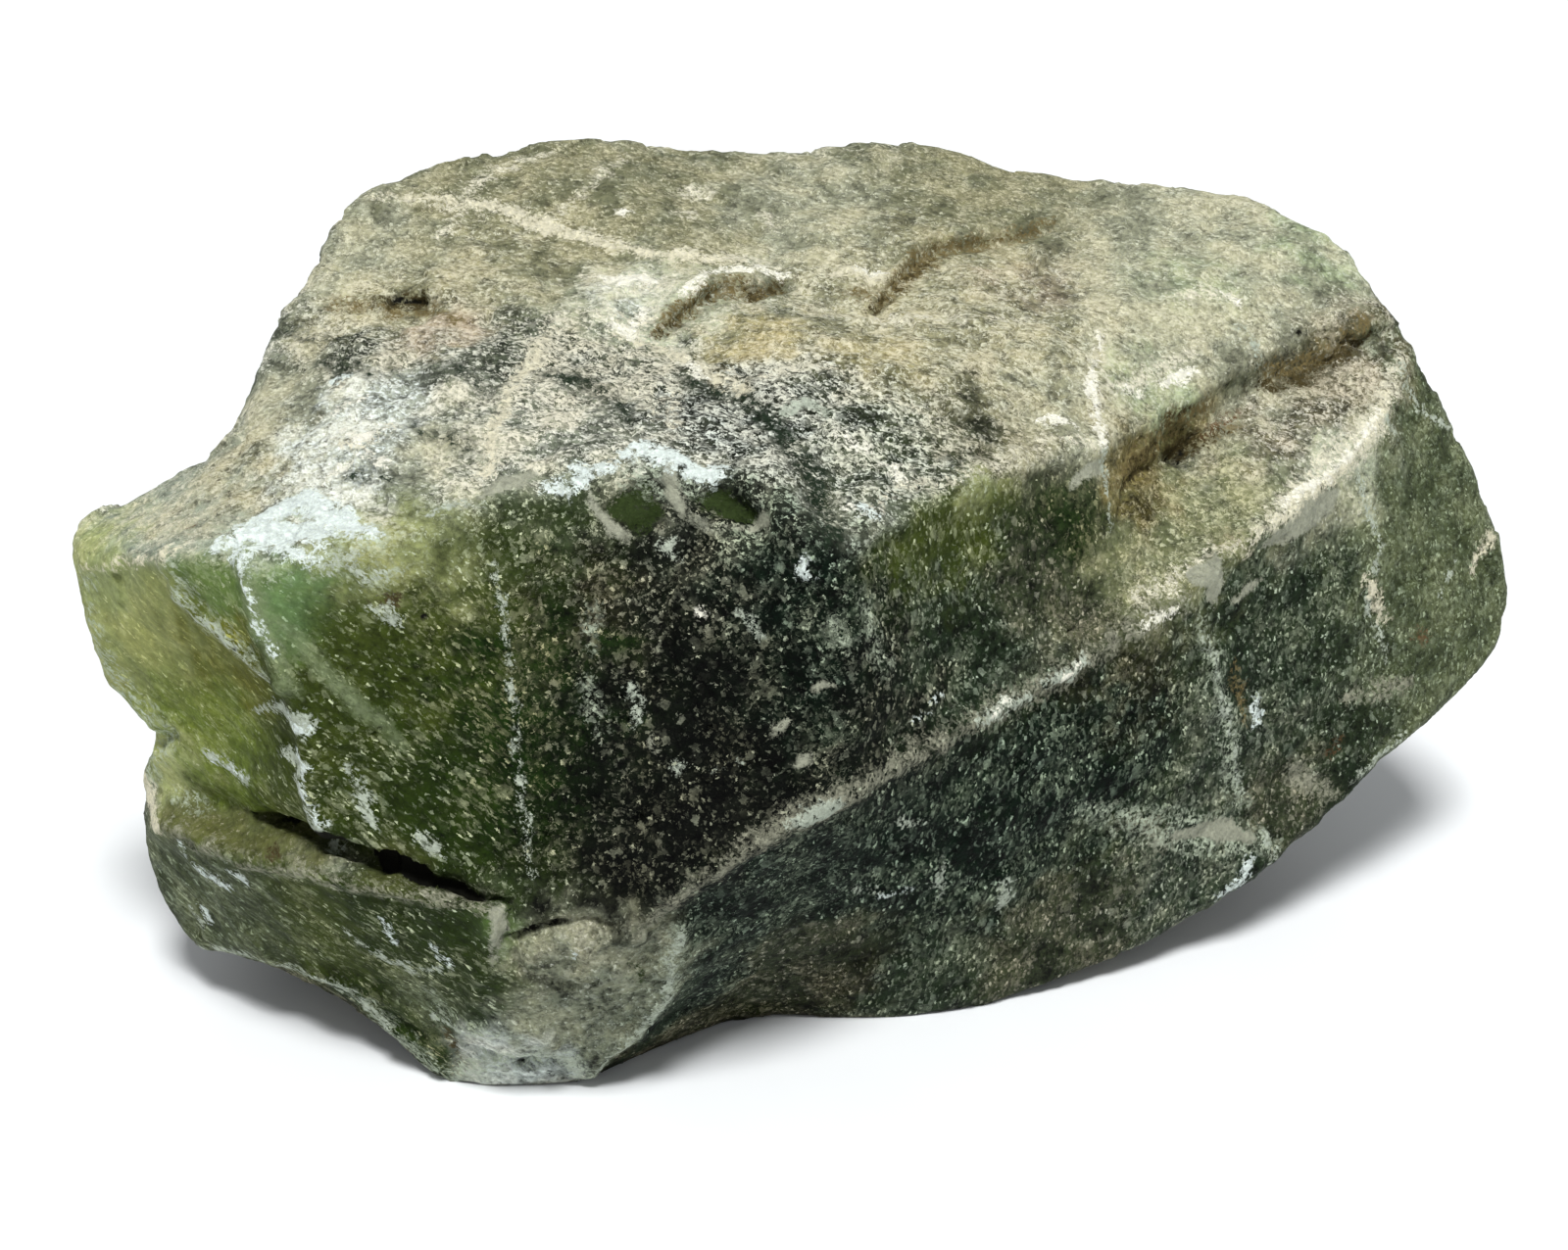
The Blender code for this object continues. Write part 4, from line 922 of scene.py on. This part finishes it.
class Shader:
    """Short calls for building one material's nodes."""

    def __init__(self, name):
        self.material = bpy.data.materials.new(name)
        self.material.use_nodes = True
        self.tree = self.material.node_tree

    def feed(self, node, inputs):
        """Links each input to the output given, or sets it to the value given."""
        for key, value in inputs.items():
            if isinstance(value, bpy.types.NodeSocket):
                self.tree.links.new(value, node.inputs[key])
            else:
                node.inputs[key].default_value = value

    def finish(self, inputs):
        """The material, with its surface fed."""
        self.feed(self.tree.nodes["Principled BSDF"], inputs)
        return self.material

    def node(self, kind, inputs, **settings):
        """All outputs of a new node."""
        node = self.tree.nodes.new(kind)
        for key, value in settings.items():
            setattr(node, key, value)
        self.feed(node, inputs)
        return node.outputs

    def math(self, operation, *values, clamp=False):
        return self.node("ShaderNodeMath", dict(enumerate(values)), operation=operation, use_clamp=clamp)[0]

    def line(self, value, slope, start, clamp=False):
        """The value times slope, plus start."""
        return self.math("MULTIPLY_ADD", value, slope, start, clamp=clamp)

    def times(self, first, second, clamp=False):
        return self.math("MULTIPLY", first, second, clamp=clamp)

    def vector(self, operation, place, other):
        """The place scaled by a number, or with another place added or taken off."""
        key = "Scale" if operation == "SCALE" else 1
        inputs = {0: place, key: other}
        return self.node("ShaderNodeVectorMath", inputs, operation=operation)[0]

    def blend(self, share, first, second, mode="MIX"):
        inputs = {0: share, 6: first, 7: second}
        return self.node("ShaderNodeMix", inputs, data_type="RGBA", blend_type=mode)[2]

    def tint(self, first, second):
        return self.blend(1.0, first, second, "MULTIPLY")

    def weigh(self, share, first, second):
        return self.node("ShaderNodeMix", {0: share, 2: first, 3: second}, data_type="FLOAT")[0]

    def grey(self, value):
        return self.node("ShaderNodeCombineColor", {0: value, 1: value, 2: value})[0]

    def parts(self, colour):
        return self.node("ShaderNodeSeparateColor", {0: colour})

    def place(self):
        return self.node("ShaderNodeTexCoord", {})["Object"]

    def point(self, name, output="Fac"):
        """A value that the mesh keeps at its points."""
        return self.node("ShaderNodeAttribute", {}, attribute_name=name)[output]

    def noise(self, place, scale, detail, rough):
        inputs = {"Vector": place, "Scale": scale, "Detail": detail, "Roughness": rough}
        return self.node("ShaderNodeTexNoise", inputs)

    def cells(self, place, scale):
        return self.node("ShaderNodeTexVoronoi", {"Vector": place, "Scale": scale})

    def stretched(self, place, turn, scale):
        """The place, so that patterns made there come out turned and longer along one way."""
        angles = tuple(math.radians(angle) for angle in turn)
        inputs = {"Vector": place, "Rotation": angles, "Scale": scale}
        return self.node("ShaderNodeMapping", inputs, vector_type="TEXTURE")[0]


def stone_material():
    """Green aventurine: a clear to dark ground, pale flecks, veins, bruises and stains."""
    s = Shader("aventurine")
    flat = s.point("flat")
    rough = s.point("rough")
    patch = s.point("patch")

    # places in millimetres, bent a little, and stretched along the grain of each side
    place = s.vector("SCALE", s.place(), 1.0 / MM)
    fine = s.noise(place, scale=2.0, detail=3.0, rough=0.75)
    bend = s.vector("SCALE", s.vector("SUBTRACT", fine["Color"], (0.5, 0.5, 0.5)), 0.9)
    bent = s.vector("ADD", place, bend)
    grain = s.vector("ADD", place, s.vector("SCALE", bend, 0.5))
    steep_place = s.stretched(grain, turn=(28.0, 15.0, 0.0), scale=(0.8, 0.8, 2.4))
    slant_place = s.stretched(grain, turn=(28.0, 125.0, 0.0), scale=(0.7, 0.7, 2.4))
    flat_place = s.stretched(bent, turn=(0.0, 0.0, -30.0), scale=(1.5, 0.8, 0.8))

    # flakes of mica: a mosaic of ragged cells, mostly dull and some bright, longer along the grain
    share = s.math("MAXIMUM", s.times(s.point("share"), s.line(patch, 1.5, 1.0)), 0.03)
    jitter = s.line(fine["Fac"], 1.2, -0.6)
    where = bent
    grain_places = ((flat_place, flat), (slant_place, s.point("slant")), (steep_place, s.point("steep")))
    for grain_place, weight in grain_places:
        chosen = s.math("GREATER_THAN", s.math("ADD", weight, jitter), 0.5)
        where = s.node("ShaderNodeMix", {0: chosen, 4: where, 5: grain_place}, data_type="VECTOR")[1]
    grains = s.cells(where, 4.8)
    small = s.parts(grains["Color"])
    large = s.parts(s.cells(where, 1.9)["Color"])
    crusty = s.line(rough, 2.5, -1.35, clamp=True)
    power = s.math("DIVIDE", 0.85, share)
    level = s.times(s.math("POWER", small[0], power), s.line(grains["Distance"], 0.30, 0.15))
    crisp = s.times(s.point("share"), s.line(patch, 0.8, 1.0))
    crisp = s.line(s.math("ADD", small[0], s.line(crisp, 1.15, -1.0)), 4.0, 0.5, clamp=True)
    level = s.weigh(flat, level, s.weigh(crusty, s.times(level, 2.9), s.times(crisp, 0.85)))
    level = s.math("MAXIMUM", level, s.math("POWER", small[1], s.times(power, 4.5)))
    level = s.math("MAXIMUM", level, s.times(s.math("POWER", large[0], s.times(power, 2.4)), 0.34))
    level = s.times(level, s.line(fine["Fac"], 4.0, -1.0), clamp=True)

    # the ground, in streaks and grains
    tone = s.line(s.noise(where, scale=1.1, detail=4.0, rough=0.72)["Fac"], 4.5, -2.25)
    tone = s.line(patch, 0.5, tone)
    tone = s.line(s.math("ADD", fine["Fac"], -0.5), 3.5, tone)
    tone = s.line(tone, s.line(rough, 0.8, 0.15), 1.0)
    tone = s.math("MAXIMUM", tone, s.line(flat, 0.20, 0.15))
    tone = s.times(tone, s.line(s.times(flat, crusty), -0.38, 1.0))
    hue = s.line(patch, 1.2, 0.5, clamp=True)
    hue = s.blend(hue, (0.97, 1.0, 1.02, 1.0), (1.03, 1.0, 0.95, 1.0))
    ground = s.tint(s.point("ground", "Color"), s.grey(tone))
    colour = s.tint(s.blend(level, ground, s.point("fleck", "Color")), hue)

    # the marks, with edges and gaps that follow the flakes
    ragged = s.math("ADD", s.noise(bent, scale=0.9, detail=4.0, rough=0.72)["Fac"], -0.5)
    broken = s.noise(slant_place, scale=1.5, detail=3.0, rough=0.72)["Fac"]
    torn_edge = s.line(small[0], 0.7, s.line(ragged, 2.6, -0.35))
    gaps = s.line(small[2], 0.5, s.line(broken, 1.6, -0.55))
    mottle = s.grey(s.line(small[1], 0.30, s.line(fine["Fac"], 0.9, 0.40)))
    bare = level
    for name, (paint, edge, torn, cover, _) in LAYERS.items():
        depth = s.line(torn_edge, torn, s.point(name))
        on = s.line(depth, 1.0 / edge, 0.5, clamp=True)
        on = s.times(on, s.line(gaps, 3.0, cover * 3.0 - 2.1, clamp=True))
        colour = s.blend(on, colour, s.tint((*linear(paint), 1.0), mottle))
        bare = s.times(bare, s.math("SUBTRACT", 1.0, on))

    # the sheen, and the bumps too small for the mesh
    sheen = s.line(bare, -0.20, s.line(s.point("gloss"), -0.35, 0.75))
    height = s.times(fine["Fac"], s.line(rough, 0.20, 0.03))
    height = s.line(small[0], 0.06, height)
    bump = s.node("ShaderNodeBump", {"Height": height, "Strength": 1.0, "Distance": MM})[0]
    return s.finish({
        "Base Color": colour,
        "Roughness": sheen,
        "Normal": bump,
        "Subsurface Weight": s.times(s.point("clear"), 0.35),
        "Subsurface Radius": SKIN_COLOUR,
        "Subsurface Scale": SKIN,
        "Specular IOR Level": 0.07,
    })


def table_material():
    """Pale paper under the stone."""
    s = Shader("pale_table")
    colour = s.blend(s.noise(s.place(), scale=90.0, detail=3.0, rough=0.5)["Fac"], *TABLE_TONES)
    return s.finish({"Base Color": colour, "Roughness": 0.7, "Specular IOR Level": 0.2})


def add_floor():
    """A wide table top at the stone's foot."""
    half = TABLE_HALF
    corners = [(-half, -half, 0), (half, -half, 0), (half, half, 0), (-half, half, 0)]
    mesh = bpy.data.meshes.new("table")
    mesh.from_pydata(corners, [], [(0, 1, 2, 3)])
    mesh.materials.append(table_material())
    floor = add("table", mesh)
    floor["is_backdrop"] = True


def add_light():
    """Soft light from above and behind, and a pale room around."""
    world = bpy.data.worlds.new("room")
    bpy.context.scene.world = world
    world.use_nodes = True
    air = world.node_tree.nodes["Background"]
    air.inputs["Color"].default_value = ROOM_COLOUR
    air.inputs["Strength"].default_value = ROOM_STRENGTH
    for name, (place, aim, width, depth, power, opening) in LAMPS.items():
        light = bpy.data.lights.new(name, "AREA")
        light.shape = "RECTANGLE"
        light.size = width
        light.size_y = depth
        light.energy = power
        light.spread = math.radians(opening)
        lamp = add(name, light)
        lamp.location = place
        lamp.rotation_euler = (Vector(aim) - Vector(place)).to_track_quat("-Z", "Y").to_euler()
    bpy.context.scene.view_settings.view_transform = "Standard"


add_camera()
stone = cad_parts["stone"]
sight = Sight(stone)
surface = fine_copy(stone)
dress(surface, sight)
aventurine = stone_material()
for slab in slabs(surface, SLABS):
    slab.data.materials.clear()
    slab.data.materials.append(aventurine)
    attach(slab, "root")
    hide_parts("stone")
add_floor()
add_light()
[[list(corner) for corner in box] for box in (cad_box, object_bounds())]
